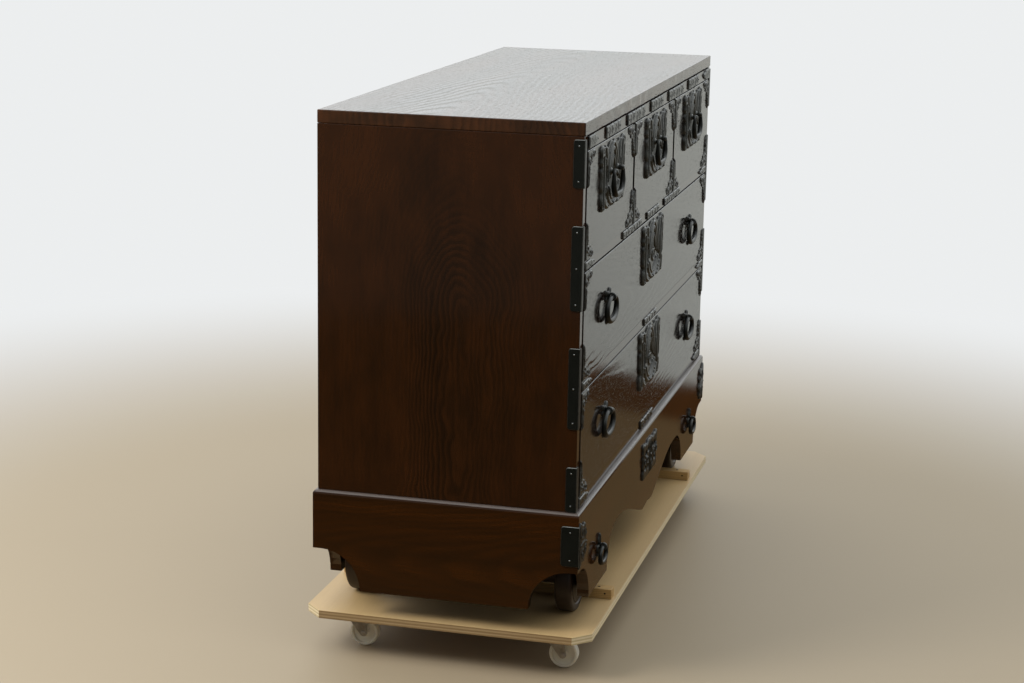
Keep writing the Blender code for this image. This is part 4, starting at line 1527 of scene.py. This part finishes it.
@dataclass
class FrontTrim(Assembly):
    """Small castings on the rails: plates over the drawers, flanges at the dividers and arms at the corners."""

    plate_length: float = 0.112
    flange_length: float = 0.150
    arm_length: float = 0.066
    edge_gap: float = 0.0016
    thick: float = 0.0030
    nail_inset: float = 0.006
    flange_growth: float = 1.07
    strip_width: float = 0.0110
    strip_height: float = 0.060
    strip_sunk: float = 0.0018
    strip_thick: float = 0.0052

    def build(self) -> None:
        """Put every rail's castings in place."""
        rails = {"top_rail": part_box("top_rail")}
        face = rails["top_rail"][0].y
        for name, share in SHELVES.items():
            low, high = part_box(name)
            rails[name] = (low + SETBACK * share, high)
        middles = [back_middle(f"drawer_top_{name}_front").x for name in ("left", "middle", "right")]
        dividers = [back_middle(name + "_divider").x for name in ("left", "right")]
        for count, x in enumerate(middles):
            self.plate(f"rail_plate_top_{count + 1}", x, rails["top_rail"], self.plate_length)
        for name in SHELVES:
            self.plate(f"rail_plate_{name}", 0.0, rails[name], self.plate_length)
        for count, x in enumerate(dividers):
            self.plate(f"divider_flange_top_{count + 1}", x, rails["top_rail"], self.flange_length)
            self.plate(f"divider_flange_bottom_{count + 1}", x, rails["upper_shelf"],
                       self.flange_length * self.flange_growth)
            self.strip(f"divider_strip_top_{count + 1}", Vector((x, face, rails["top_rail"][0].z)), -1)
            self.strip(f"divider_strip_bottom_{count + 1}", Vector((x, face, rails["upper_shelf"][1].z)), 1)
        for name, box in rails.items():
            for side, x in (("left", box[0].x), ("right", box[1].x)):
                self.arm(f"corner_arm_{name}_{side}", x, box)

    def relief(self, length: float, height: float) -> list[Stroke]:
        """Small curls along a narrow casting.

        Args:
            length: Its length.
            height: Its height.

        Returns:
            The strokes.
        """
        count = max(3, int(length / 0.026))
        ways = [1 if step % 2 else -1 for step in range(count)]
        return [scroll(((step - (count - 1) / 2) * length * 0.9 / count, height * 0.06 * way),
                       height * 0.34, 1.1 * way, 90, height * 0.12, 0.0010) for step, way in enumerate(ways)]

    def tall(self, rail: Box) -> float:
        """The height of a rail's castings."""
        return rail[1].z - rail[0].z - 2 * self.edge_gap

    def fix(self, name: str, x: float, rail: Box, casting: Casting, inward: int = 1) -> None:
        """Put a casting on a rail.

        Args:
            name: The piece's name.
            x: Where the casting's (0, 0) goes along the rail.
            rail: The rail's corners.
            casting: The casting.
            inward: -1 mirrors it along X.
        """
        spot = Vector((x, rail[0].y - HAIR, (rail[0].z + rail[1].z) / 2))
        self.cast(name, casting, spot, self.palette.trim_iron, (inward, 1), smooth=SMOOTH)

    def outline(self, length: float, height: float) -> list[Point]:
        """A narrow, square-ended outline with small notches along its long sides.

        Args:
            length: Its length.
            height: Its height.

        Returns:
            The outline.
        """
        half, tall = length / 2, height / 2
        upper = [(half * u, tall * v) for u, v in ((1.0, 0.0), (1.0, 0.90), (0.98, 1.0), (0.60, 1.0), (0.55, 0.84),
                                                   (0.50, 1.0), (0.06, 1.0), (0.0, 0.86))]
        return both_halves([(u, -v) for u, v in reversed(upper[1:])] + upper)

    def plate(self, name: str, x: float, rail: Box, length: float) -> None:
        """Put a narrow casting on a rail.

        Args:
            name: The piece's name.
            x: Its middle.
            rail: The rail's corners.
            length: Its length.
        """
        height = self.tall(rail)
        reach = length / 2 - self.nail_inset
        nails = [(-reach, 0.0), (-reach * 0.33, height * 0.3), (reach * 0.33, -height * 0.3), (reach, 0.0)]
        casting = Casting(self.outline(length, height), self.relief(length, height), edge=self.thick, nails=nails)
        self.fix(name, x, rail, casting)

    def strip(self, name: str, foot: Vector, up: int) -> None:
        """Put a pointed strip on a divider, between the corner castings of two drawers.

        Args:
            name: The piece's name.
            foot: Where it leaves the rail.
            up: 1 where it stands on the rail and -1 where it hangs from it.
        """
        half, tall = self.strip_width / 2, self.strip_height
        outline = [(-half, 0.0005), (half, 0.0005), (half, tall * 0.80), (0.0, tall), (-half, tall * 0.80)]
        ridge = np.array([(0.0, v) for v in np.linspace(0.004, tall * 0.94, 40)])
        lines = [Stroke(ridge, np.full(len(ridge), 0.0018), 0.0008)]
        casting = Casting(outline, lines, edge=self.strip_thick, crown=0.0, grid=0.0016)
        spot = foot + Vector((0, self.strip_sunk, 0))
        self.cast(name, casting, spot, self.palette.trim_iron, (1, up), smooth=SMOOTH)

    def arm(self, name: str, x: float, rail: Box) -> None:
        """Put a tapering casting at a rail's end.

        Args:
            name: The piece's name.
            x: The rail's end.
            rail: The rail's corners.
        """
        half, length = self.tall(rail) / 2, self.arm_length
        outline = [(length * u, half * v) for u, v in
                   ((0.0, -1.0), (0.62, -1.0), (0.70, -0.7), (0.86, -0.62), (1.0, -0.1), (0.97, 0.3), (0.84, 0.55),
                    (0.72, 0.6), (0.62, 1.0), (0.0, 1.0))]
        strokes = [scroll((length * u, 0.0), half * 0.62, 1.1, 120, half * 0.20, 0.0005)
                   for u in (0.16, 0.40, 0.64)]
        nails = [(length * u, half * v) for u, v in ((0.28, 0.4), (0.52, -0.4), (0.9, 0.0))]
        self.fix(name, x, rail, Casting(outline, strokes, edge=self.thick, nails=nails), 1 if x < 0 else -1)


class PlateKind(Enum):
    """What a cast plate carries at its middle."""

    HANDLE = "handle"
    LOCK = "lock"


@dataclass
class CastPlates(Assembly):
    """The large scrolled plates of the drawers and the pierced one of the base."""

    plaque: Points = (
        (0, 54), (12, 56), (24, 54), (33, 49), (39, 47), (45, 49), (54, 53), (63, 51), (71, 52), (80, 56), (89, 54),
        (93, 46), (90, 36), (92, 27), (88, 20), (91, 12), (89, 0), (90, -14), (85, -23), (89, -34), (87, -46),
        (82, -55), (74, -51), (66, -56), (57, -50), (48, -53), (38, -56), (30, -51), (20, -55), (12, -51), (5, -56),
        (0, -54))
    slits: tuple[tuple[Point, Point], ...] = (((57, 1), (10, 34)), ((-57, 1), (10, 34)), ((0, 33), (5, 14)))
    nails: Points = ((0, 50), (38, -53), (-38, -53), (5, -53), (66, -52), (-66, -52), (84, 50), (-84, 50))
    lines: tuple[tuple[Point, Point, Point, float, float], ...] = (
        ((83, 44), (92, 33), (86, 22), 5.6, 2.2), ((86, 18), (94, 0), (86, -20), 6.0, 2.2),
        ((85, -26), (92, -38), (80, -52), 6.2, 2.2), ((75, 47), (64, 0), (74, -46), 4.6, 3.2),
        ((57, 30), (46, 2), (57, -26), 3.8, 3.0), ((60, 50), (52, 40), (46, 20), 4.6, 3.0),
        ((40, -8), (36, 36), (2, 52), 4.8, 3.4), ((27, -4), (22, 32), (2, 43), 4.4, 3.2),
        ((15, 4), (12, 22), (1, 30), 4.0, 3.0), ((47, -20), (36, -44), (6, -51), 4.8, 3.2),
        ((31, -20), (22, -38), (3, -42), 4.4, 3.0), ((66, -34), (60, -48), (40, -52), 4.6, 3.0))
    edge: float = 0.0031
    nail_sunk: float = 0.0010
    cuts: Rows = ((40, 14, 17, 12, 1.2), (18, 17, 12, 10, 1.0), (44, -14, 15, 9, 1.0), (20, -15, 8, 12, 1.0))
    post_spacing: float = 0.052
    post_radius: float = 0.0046
    post_reach: float = 0.0171

    def build(self) -> None:
        """Make all plates."""
        for name in ("left", "middle", "right"):
            self.plate(f"drawer_top_{name}_plate", f"drawer_top_{name}", PlateKind.HANDLE)
        for name in ("middle", "lower"):
            self.plate(f"drawer_{name}_lock_plate", f"drawer_{name}", PlateKind.LOCK)
        self.pierced("base_centre_plate")

    def scrolls(self, kind: PlateKind) -> list[Stroke]:
        """The relief of a plate: lobed side bars, almonds, a pointed arch and sprays below it.

        Args:
            kind: What the plate carries.

        Returns:
            The strokes of both halves.
        """
        half = [stem(mm(*start), mm(*bend), mm(*end), width / 1000, rise / 1000, 0.6)
                for start, bend, end, width, rise in self.lines]
        half += [scroll(mm(82, 47), 0.0085, 1.2, 200, 0.0030, 0.0026),
                 scroll(mm(50, -46), 0.0065, -1.2, 90, 0.0026, 0.0026)]
        if kind is PlateKind.LOCK:
            half += [scroll(mm(0, -4), 0.0150, 0.5, -90, 0.0028, 0.0028),
                     stem(mm(0, -10), mm(4, -4), mm(0, 4), 0.0022, 0.0024)]
        return half + [stroke.mirrored() for stroke in half]

    def outline(self, node: str) -> list[Point]:
        """The waved outline of a plate, fitted to its CAD node.

        Args:
            node: The node's name.

        Returns:
            The outline.
        """
        low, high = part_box(node)
        points = np.array(flowing(both_halves(self.plaque), 4))
        reach = np.abs(points).max(0)
        return [tuple(point) for point in points / reach * ((high.x - low.x) / 2, (high.z - low.z) / 2)]

    def plate(self, node: str, body: str, kind: PlateKind) -> None:
        """Make one plate, with posts where it carries a bail.

        Args:
            node: The CAD node that it stands for.
            body: The drawer that it rides on.
            kind: What it carries.
        """
        middle = back_middle(node)
        bm = bmesh.new()
        holes = [[(u + at[0] / 1000, v + at[1] / 1000) for u, v in lobed(*mm(*size), 1, 0.0, 1.6, 28)]
                 for at, size in self.slits]
        Casting(self.outline(node), self.scrolls(kind), holes, edge=self.edge, crown=-0.0014, crown_reach=0.007,
                cap=0.0056, nails=[mm(*point) for point in self.nails], head=PLATE_NAIL,
                sunk=self.nail_sunk).form(bm, middle)
        if kind is PlateKind.HANDLE:
            pivot = self.shop.pivot(body + "_bail_swing")
            for side in (-1, 1):
                self.post(bm, Vector((middle.x + side * self.post_spacing / 2, middle.y, pivot.z)))
        self.shop.add(node + "_cast", bm, body, "iron", self.palette.iron, smooth=CAST_SMOOTH, stands_for=(node,))

    def post(self, bm: Shape, foot: Vector) -> None:
        """Add a turned post with a collar and a domed head.

        Args:
            bm: The shape to add to.
            foot: Where it leaves the plate's back plane.
        """
        radius, reach = self.post_radius, self.post_reach
        profile = [(radius * out, reach * high) for out, high in
                   ((1.5, 0.0), (1.45, 0.30), (1.1, 0.36), (0.85, 0.42), (1.0, 0.55), (1.0, 0.82), (0.8, 0.93),
                    (0.45, 0.99), (0.0, 1.0))]
        add_turned(bm, profile, 20, Matrix.Translation(foot) @ TO_FRONT)

    def pierced(self, node: str) -> None:
        """Make the base's plate with cut-outs between its scrolls.

        Args:
            node: The CAD node that it stands for.
        """
        holes = []
        for x, z, width, height, scallop in (mm(*row) for row in self.cuts):
            loop = lobed(width, height, 3, scallop, 2.0)
            holes += [[(side * (u + x), v + z) for u, v in loop] for side in (-1, 1)]
        strokes = [scroll(mm(54, 2), 0.0085, 1.3, 90, 0.0022, 0.0018),
                   scroll(mm(30, 0), 0.0090, -1.3, 60, 0.0022, 0.0018),
                   scroll(mm(0, 0), 0.0110, 0.5, -90, 0.0024, 0.0020),
                   stem(mm(6, -30), mm(8, 0), mm(4, 30), 0.0022, 0.0018)]
        strokes += [stroke.mirrored() for stroke in strokes]
        casting = Casting(self.outline(node), strokes, holes, crown=0.0010, crown_reach=0.008, grid=0.0019)
        self.cast(node + "_cast", casting, back_middle(node), self.palette.forged_iron, stands_for=(node,))


@dataclass
class Handles(Assembly):
    """Bails, pull rings, their rosettes and the studs that the rings rest on."""

    bail_spacing: float = 0.052
    bail_inset: float = 0.0046
    bail_outside: float = 0.006
    bail_bend: float = 0.0045
    bail_drop: float = 0.040
    bail_corner: float = 0.022
    bail_pin: float = 0.0026
    bail_rod: float = 0.0048
    bail_belly: float = 0.0054
    ring: tuple[float, ...] = (0.037, 0.0198, 0.0038, 0.0055)
    base_ring: tuple[float, ...] = (0.023, 0.0138, 0.0032, 0.0044)
    ring_squareness: float = 2.3
    crown_half: Points = (
        (0, 9), (6, 8), (11, 12), (17, 13), (20, 9), (18, 4), (12, 2), (16, -4), (12, -9), (6, -10), (0, -13))
    crown_edge: float = 0.0018
    leaf_half: Points = (
        (0, 24), (3, 18), (6, 13), (7, 8), (5, 4), (13, 3), (15, -4), (11, -9), (12, -15), (6, -17), (0, -20))
    leaf_edge: float = 0.0026
    rosette_cap: float = 0.0024
    eye_thick: float = 0.005
    eye_wall: float = 0.003
    eye_play: float = 0.0005
    eye_bevel: float = 0.0008
    stud_radius: float = 0.0040
    stud_drop: float = 0.044

    def build(self) -> None:
        """Make every handle."""
        for name in ("left", "middle", "right"):
            self.bail(f"drawer_top_{name}_bail")
        for name in ("middle", "lower"):
            for side in ("left", "right"):
                self.pull(f"drawer_{name}_{side}", f"drawer_{name}", self.ring)
                self.stud(f"drawer_{name}_{side}", f"drawer_{name}")
        for side in ("left", "right"):
            self.pull(f"base_{side}", CHEST, self.base_ring)

    def bail(self, node: str) -> None:
        """Sweep one bail, full at its middle and thin at its pins.

        Args:
            node: The CAD node that it stands for.
        """
        arm = self.bail_spacing / 2 + self.bail_inset + self.bail_outside
        bend = self.bail_bend
        low = -self.bail_drop
        half = [(self.bail_spacing / 2 - self.bail_inset, 0.0), (arm - bend, 0.0)]
        half += arc((arm - bend, -bend), bend, 80, 0, 5)
        half += arc((arm - self.bail_corner, low + self.bail_corner), self.bail_corner, 0, -90, 9)
        half += [(share * (arm - self.bail_corner), low) for share in (0.75, 0.5, 0.25, 0.0)]
        route = half + [(-x, z) for x, z in reversed(half[:-1])]
        pivot = self.shop.pivot(node + "_swing")
        path, radii = [], []
        for x, z in route:
            grown = min(1.0, abs(z) / self.bail_corner)
            belly = max(0.0, 1 - abs(x) / arm) * (self.bail_belly - self.bail_rod) * grown
            path.append(pivot + Vector((x, 0, z)))
            radii.append(self.bail_pin + (self.bail_rod - self.bail_pin) * grown + belly)
        self.forge(node, path, radii)

    def pull(self, name: str, body: str, ring: tuple[float, ...]) -> None:
        """Make one oval ring and the rosette that carries it.

        Args:
            name: Start of the CAD nodes' names.
            body: The body that carries the rosette.
            ring: Half its width and height, and its bar's radius at the eye and at its foot.
        """
        half_w, half_h, rod, belly = ring
        pivot = self.shop.pivot(name + "_ring_swing")
        path, radii = [], []
        for turn in (math.tau * step / 72 for step in range(72)):
            across, up = (math.copysign(abs(part) ** (2 / self.ring_squareness), part)
                          for part in (math.sin(turn), math.cos(turn)))
            path.append(pivot + Vector((across * half_w, 0, (up - 1) * half_h)))
            radii.append(rod + (belly - rod) * (1 - up) / 2)
        self.forge(name + "_ring", path, radii, closed=True)
        self.rosette(name + "_rosette", body, pivot, rod)

    def forge(self, node: str, path: Sequence[Vector], radii: Sequence[float], closed: bool = False) -> None:
        """Make a handle from a round bar.

        Args:
            node: The CAD node that it stands for, and its body.
            path: Points of the bar's middle line.
            radii: The bar's radius at each point.
            closed: Whether the bar closes to a ring.
        """
        bm = bmesh.new()
        add_tube(bm, path, radii, 16, closed)
        self.shop.add(node + "_forged", bm, node, "iron", self.palette.forged_iron, stands_for=(node,))

    def rosette(self, node: str, body: str, pivot: Vector, rod: float) -> None:
        """Make a petalled rosette with leaf tips above it and a lug with a hole for the ring.

        Args:
            node: The CAD node that it stands for.
            body: The body that it rides on.
            pivot: Where the ring passes the lug.
            rod: The ring's own radius there.
        """
        base = Vector((pivot.x, back_middle(node).y, pivot.z))
        on_chest = body == CHEST
        half, edge = (self.leaf_half, self.leaf_edge) if on_chest else (self.crown_half, self.crown_edge)
        strokes = [stem((0.0, -0.008), (0.0, 0.002), mm(*half[0]), 0.0022, 0.0014),
                   stem((0.002, -0.006), (0.008, -0.002), mm(*half[3]), 0.0020, 0.0012),
                   stem((0.002, -0.008), (0.008, -0.008), mm(*half[6]), 0.0020, 0.0012)]
        strokes += [stroke.mirrored() for stroke in strokes[1:]]
        outline = flowing(both_halves([mm(*point) for point in half]), 4)
        bm = bmesh.new()
        Casting(outline, strokes, edge=edge, crown=0.0008, grid=0.0015, cap=edge + self.rosette_cap).form(bm, base)
        self.lug(bm, base, pivot, rod)
        self.shop.add(node + "_cast", bm, body, "iron", self.palette.forged_iron, smooth=CAST_SMOOTH,
                      stands_for=(node,))

    def lug(self, bm: Shape, base: Vector, pivot: Vector, rod: float) -> None:
        """Add the lug that the ring hangs in.

        Args:
            bm: The shape to add to.
            base: The middle of the rosette's back.
            pivot: Where the ring passes.
            rod: The ring's own radius there.
        """
        hole = rod + self.eye_play
        outer = hole + self.eye_wall
        half, bevel = self.eye_thick / 2, self.eye_bevel
        profile = [(hole, -half), (outer - bevel, -half), (outer, -half + bevel), (outer, half - bevel),
                   (outer - bevel, half), (hole, half)]
        add_turned(bm, profile, 24, Matrix.Translation(pivot) @ Matrix.Rotation(math.pi / 2, 4, "Y"), closed=True)
        add_box(bm, (pivot.x - half, pivot.y + hole * 0.9, pivot.z - outer * 0.85),
                (pivot.x + half, base.y - 0.001, pivot.z + outer * 0.85), bevel)

    def stud(self, name: str, body: str) -> None:
        """Make the button that a ring rests on.

        Args:
            name: Start of the ring's names.
            body: The drawer that it rides on.
        """
        pivot = self.shop.pivot(name + "_ring_swing")
        radius = self.stud_radius
        profile = [(radius * 1.25, 0.0), (radius * 1.2, 0.0006), (radius, 0.0010), (radius * 0.85, 0.0020),
                   (radius * 0.5, 0.0026), (0.0, 0.0028)]
        bm = bmesh.new()
        foot = Vector((pivot.x, back_middle(name + "_rosette").y, pivot.z - self.stud_drop))
        add_turned(bm, profile, 24, Matrix.Translation(foot) @ TO_FRONT)
        self.shop.add(name + "_stud", bm, body, "iron", self.palette.iron)


@dataclass
class Drawers(Assembly):
    """Drawer fronts, trays and the castings at the fronts' corners."""

    names: tuple[str, ...] = ("top_left", "top_middle", "top_right", "middle", "lower")
    corner_gap: float = 0.0012
    tray_tint: Colour = (0.50, 0.36, 0.21)
    hearts: tuple[float, ...] = (0.03, -0.04, 0.05, -0.02, 0.035)
    wing: Points = (
        (0, 0), (47, 0), (49, 4), (46, 8), (47, 12), (42, 15), (34, 14), (31, 18), (32, 22), (24, 24), (18, 24),
        (14, 28), (14.5, 33), (12, 37), (10.5, 39), (11, 45), (9, 49), (9, 54), (5, 59), (2, 63), (0, 63))
    wing_curls: Rows = ((38, 7, 0.0056, 1.2), (22, 9, 0.0060, -1.2), (8, 19, 0.0056, 1.2), (7, 42, 0.0048, -1.2))
    wing_nails: Points = ((42, 9), (26, 20), (12, 32), (7, 52), (8, 8))
    nail_sunk: float = 0.0001
    wing_edge: float = 0.0014
    wing_tall: float = 0.98
    wing_short: float = 0.93

    def build(self) -> None:
        """Dress every drawer and fix its corners."""
        palette = self.palette
        figure = {"slope": 0.05, "swirl": 0.012, "ring": 0.009, "ring_relief": 2.0, "pore_strength": 0.5,
                  "pore_depth": 0.00016}
        for count, (name, heart) in enumerate(zip(self.names, self.hearts)):
            low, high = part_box(f"drawer_{name}_front")
            front = palette.lacquer(f"drawer_{name}", Axis.X, Axis.Z, 0.8, 0.55, seed=11.0 + 1.7 * count,
                                    heart=(low.z + high.z) / 2 + heart, **figure)
            self.shop.dress(f"drawer_{name}_front", front)
            tray = palette.bare(f"tray_{name}", Axis.Y, Axis.Z, self.tray_tint, seed=2.2 * count)
            self.shop.dress(f"drawer_{name}_tray", tray)
            for up, z in (("lower", low.z), ("upper", high.z)):
                tall = self.wing_short if up == "upper" and name.startswith("top") else self.wing_tall
                for side, x in (("left", low.x), ("right", high.x)):
                    self.corner(f"drawer_{name}_corner_{up}_{side}", f"drawer_{name}", Vector((x, low.y, z)),
                                (1 if side == "left" else -1, 1 if up == "lower" else -1), tall)

    def corner(self, name: str, body: str, spot: Vector, flip: tuple[int, int], tall: float) -> None:
        """Fix a stepped, leafy casting in one corner of a front.

        Args:
            name: The piece's name.
            body: The drawer that it rides on.
            spot: The front's corner.
            flip: Signs that point along X and Z into the front.
            tall: Its share of the full height.
        """
        outline = [mm(u, v * tall) for u, v in self.wing]
        strokes = [scroll(mm(u, v * tall), radius, turns, 200, radius * 0.30, 0.0015)
                   for u, v, radius, turns in self.wing_curls]
        strokes.append(stem(mm(4, 26 * tall), mm(6, 44 * tall), mm(2, 60 * tall), 0.0024, 0.0016))
        origin = spot + Vector((flip[0] * self.corner_gap, -HAIR, flip[1] * self.corner_gap))
        nails = [mm(u, v * tall) for u, v in self.wing_nails]
        casting = Casting(outline, strokes, edge=self.wing_edge, crown=0.0003, grid=0.0016, nails=nails,
                          sunk=self.nail_sunk)
        self.cast(name, casting, origin, self.palette.trim_iron, flip, body)


@dataclass
class Dolly(Assembly):
    """The plywood board with its wheel chocks and caster plates."""

    length: float = 1.186
    depth: float = 0.503
    chamfer: float = 0.029
    thick: float = 0.014
    under: float = 0.068
    chock_x: float = 0.379
    chock_width: float = 0.023
    chock_height: float = 0.018
    chock_gap: float = 0.005
    plate: tuple[float, float, float] = (0.044, 0.058, 0.0025)
    caster_x: float = 0.5165
    caster_y: float = 0.178

    def build(self) -> None:
        """Make the board, the chocks and the plates."""
        self.board()
        for name, side in (("left", -1), ("right", 1)):
            self.chock(name, side)
        self.plates()

    def board(self) -> None:
        """Make the board with cut corners and bare ply edges, painted lighter along its long sides and darker, as
        painted shade, at its ends.
        """
        x, y, cut = self.length / 2, self.depth / 2, self.chamfer
        corner = [(x, y - cut), (x - cut, y)]
        outline = corner + [(-u, v) for u, v in reversed(corner)]
        outline += [(-u, -v) for u, v in corner] + [(u, -v) for u, v in reversed(corner)]
        bm = bmesh.new()
        add_prism(bm, outline, self.under, self.under + self.thick, upward, soften=0.0007)
        bm.normal_update()
        bmesh.ops.recalc_face_normals(bm, faces=bm.faces[:])
        # The top takes the veneer; the long edges and chamfers take the ply edge painted light, the ends along X
        # the ply edge painted shade.
        for face in bm.faces:
            face.material_index = 0 if abs(face.normal.z) > 0.8 else 2 if abs(face.normal.x) > 0.9 else 1
        palette = self.palette
        veneer = palette.bare("veneer", Axis.X, Axis.Y, (0.415, 0.28, 0.13), ring=0.060, slope=0.03,
                              wander=0.05, ring_share=0.05, streak_share=0.12, blotch_share=0.15, roughness=0.50)
        self.shop.add("dolly_plywood", bm, CHEST, "plywood", veneer, palette.ply_lit_sides, palette.ply_shaded_ends,
                      smooth=None, stands_for=("dolly_board",))

    def chock(self, name: str, side: int) -> None:
        """Make one chock across the board, with a nail in its end.

        Args:
            name: Which end it is at.
            side: -1 or 1.
        """
        middle, half = side * self.chock_x, self.chock_width / 2
        top = self.under + self.thick
        reach = self.depth / 2 - self.chock_gap
        bm = bmesh.new()
        add_box(bm, (middle - half, -reach, top), (middle + half, reach, top + self.chock_height), 0.0012)
        pine = self.palette.bare("chock", Axis.Y, Axis.Z, (0.40, 0.245, 0.088), ring=0.004, roughness=0.6)
        self.shop.add(f"wheel_chock_{name}", bm, CHEST, "plywood", pine, smooth=None)
        nails = bmesh.new()
        for y in (-reach * 0.90, -reach * 0.3, reach * 0.3, reach * 0.90):
            foot = Vector((middle, y, top + self.chock_height - 0.0003))
            add_turned(nails, [(0.0, 0.0008), (0.0022, 0.0006), (0.0027, 0.0)], 14, Matrix.Translation(foot))
        foot = Vector((middle - half + 0.0003, -reach + 0.012, top + self.chock_height * 0.55))
        add_turned(nails, [(0.0, 0.0006), (0.0016, 0.0005), (0.0020, 0.0)], 12,
                   Matrix.Translation(foot) @ Matrix.Rotation(-math.pi / 2, 4, "Y"))
        self.shop.add(f"chock_nails_{name}", nails, CHEST, "iron", self.palette.strap_iron)

    def plates(self) -> None:
        """Make the four caster plates with their screws."""
        half_x, half_y, thick = self.plate[0] / 2, self.plate[1] / 2, self.plate[2]
        for place, y in (("front", -self.caster_y), ("back", self.caster_y)):
            for name, x in (("left", -self.caster_x), ("right", self.caster_x)):
                bm = bmesh.new()
                outline = rounded((x - half_x, y - half_y), (x + half_x, y + half_y), (0.005,) * 4)
                add_prism(bm, outline, self.under - thick, self.under - 0.0001, upward, 0.0005)
                for u in (-1, 1):
                    for v in (-1, 1):
                        foot = Vector((x + u * (half_x - 0.006), y + v * (half_y - 0.0065), self.under - thick))
                        add_turned(bm, [(0.0038, 0.0), (0.0034, 0.0010), (0.0020, 0.0018), (0.0, 0.0020)], 14,
                                   Matrix.Translation(foot) @ Matrix.Rotation(math.pi, 4, "X"))
                self.shop.add(f"caster_plate_{place}_{name}", bm, CHEST, "zinc", self.palette.zinc)


@dataclass
class Casters(Assembly):
    """Swivel forks of pressed steel and milky nylon wheels."""

    trail: float = 0.015
    wheel_radius: float = 0.025
    wheel_width: float = 0.019
    hub_width: float = 0.0216
    pin_radius: float = 0.003
    gap: float = 0.0004
    leg_thick: float = 0.0025
    crown_z: float = 0.0545
    crown_thick: float = 0.003
    crown_half: float = 0.0168
    head_radius: float = 0.0165
    head_top: float = 0.0652
    hub_end: float = 0.0065

    def build(self) -> None:
        """Make all casters."""
        for place in ("front", "back"):
            for side in ("left", "right"):
                name = f"caster_{place}_{side}"
                self.fork(name)
                self.wheel(name)

    def fork(self, name: str) -> None:
        """Make one fork with its bearing head and riveted pin.

        Args:
            name: Start of the CAD nodes' names.
        """
        post = self.shop.pivot(name + "_swivel")
        post.z = 0.0
        inner = self.hub_width / 2 + self.gap
        top = self.crown_z + self.crown_thick
        axle = (-self.trail, self.wheel_radius)
        crown = [(self.crown_half, self.crown_z), (self.crown_half, top - 0.001), (self.crown_half - 0.001, top)]
        leg = arc(axle, self.hub_end, 190, 350, 10) + crown + [(-u, v) for u, v in reversed(crown)]
        bm = bmesh.new()
        for side in (-1, 1):
            add_prism(bm, leg, side * inner, side * (inner + self.leg_thick),
                      lambda u, v, d: post + Vector((d, u, v)), 0.0005)
        add_box(bm, post + Vector((-inner - 0.001, -self.crown_half + 0.001, self.crown_z)),
                post + Vector((inner + 0.001, self.crown_half - 0.001, top)), 0.0006)
        end = self.head_top - top
        head = [(self.head_radius * out, top + up) for out, up in
                ((0.7, -0.0005), (0.98, 0.0006), (1.0, 0.0022), (0.93, 0.0032), (0.93, 0.0040), (1.0, 0.0048),
                 (1.0, end - 0.0008), (0.9, end), (0.0, end))]
        add_turned(bm, head, 40, Matrix.Translation(post))
        for side in (-1, 1):
            rivet = [(0.0046, 0.0), (0.0046, 0.0010), (0.0034, 0.0022), (0.0, 0.0026)]
            spot = post + Vector((side * (inner + self.leg_thick), axle[0], axle[1]))
            add_turned(bm, rivet, 18, Matrix.Translation(spot) @ Matrix.Rotation(side * math.pi / 2, 4, "Y"))
        pin = [(0.0, -inner), (self.pin_radius, -inner), (self.pin_radius, inner), (0.0, inner)]
        spot = post + Vector((0, axle[0], axle[1]))
        add_turned(bm, pin, 16, Matrix.Translation(spot) @ Matrix.Rotation(math.pi / 2, 4, "Y"))
        self.shop.add(name + "_pressed_fork", bm, name + "_fork", "zinc", self.palette.zinc,
                      stands_for=(name + "_fork",))

    def wheel(self, name: str) -> None:
        """Make one wheel with a rounded tread, a dished web and a hub.

        Args:
            name: Start of the CAD nodes' names.
        """
        half, hub = self.wheel_width / 2, self.hub_width / 2
        radius, bore = self.wheel_radius, self.pin_radius + self.gap
        dish = ((0.29, 0.72), (0.34, 0.60), (0.70, 0.60), (0.76, 0.70), (0.79, 0.95), (0.82, 1.0), (0.90, 1.0),
                (0.96, 0.90), (0.99, 0.70), (1.0, 0.40))
        side = [(bore, hub), (radius * 0.24, hub), (radius * 0.27, hub - 0.0006)]
        side += [(radius * out, half * high) for out, high in dish]
        profile = side + [(r, -h) for r, h in reversed(side)]
        bm = bmesh.new()
        place = Matrix.Translation(self.shop.pivot(name + "_roll")) @ Matrix.Rotation(math.pi / 2, 4, "Y")
        add_turned(bm, profile, 56, place, closed=True)
        self.shop.add(name + "_moulded_wheel", bm, name + "_wheel", "nylon", self.palette.nylon,
                      stands_for=(name + "_wheel",))


def main() -> None:
    """Build the studio and every sub-assembly."""
    logging.basicConfig(level=logging.INFO, format="%(name)s: %(message)s")
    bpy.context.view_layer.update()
    Studio().build()
    shop = Workshop(Palette())
    for kind in (Carcass, WheeledBase, CornerStraps, FrontTrim, CastPlates, Handles, Drawers, Dolly, Casters):
        kind(shop).build()
        LOG.info("%s done", kind.__name__)


if __name__ == "__main__":
    main()
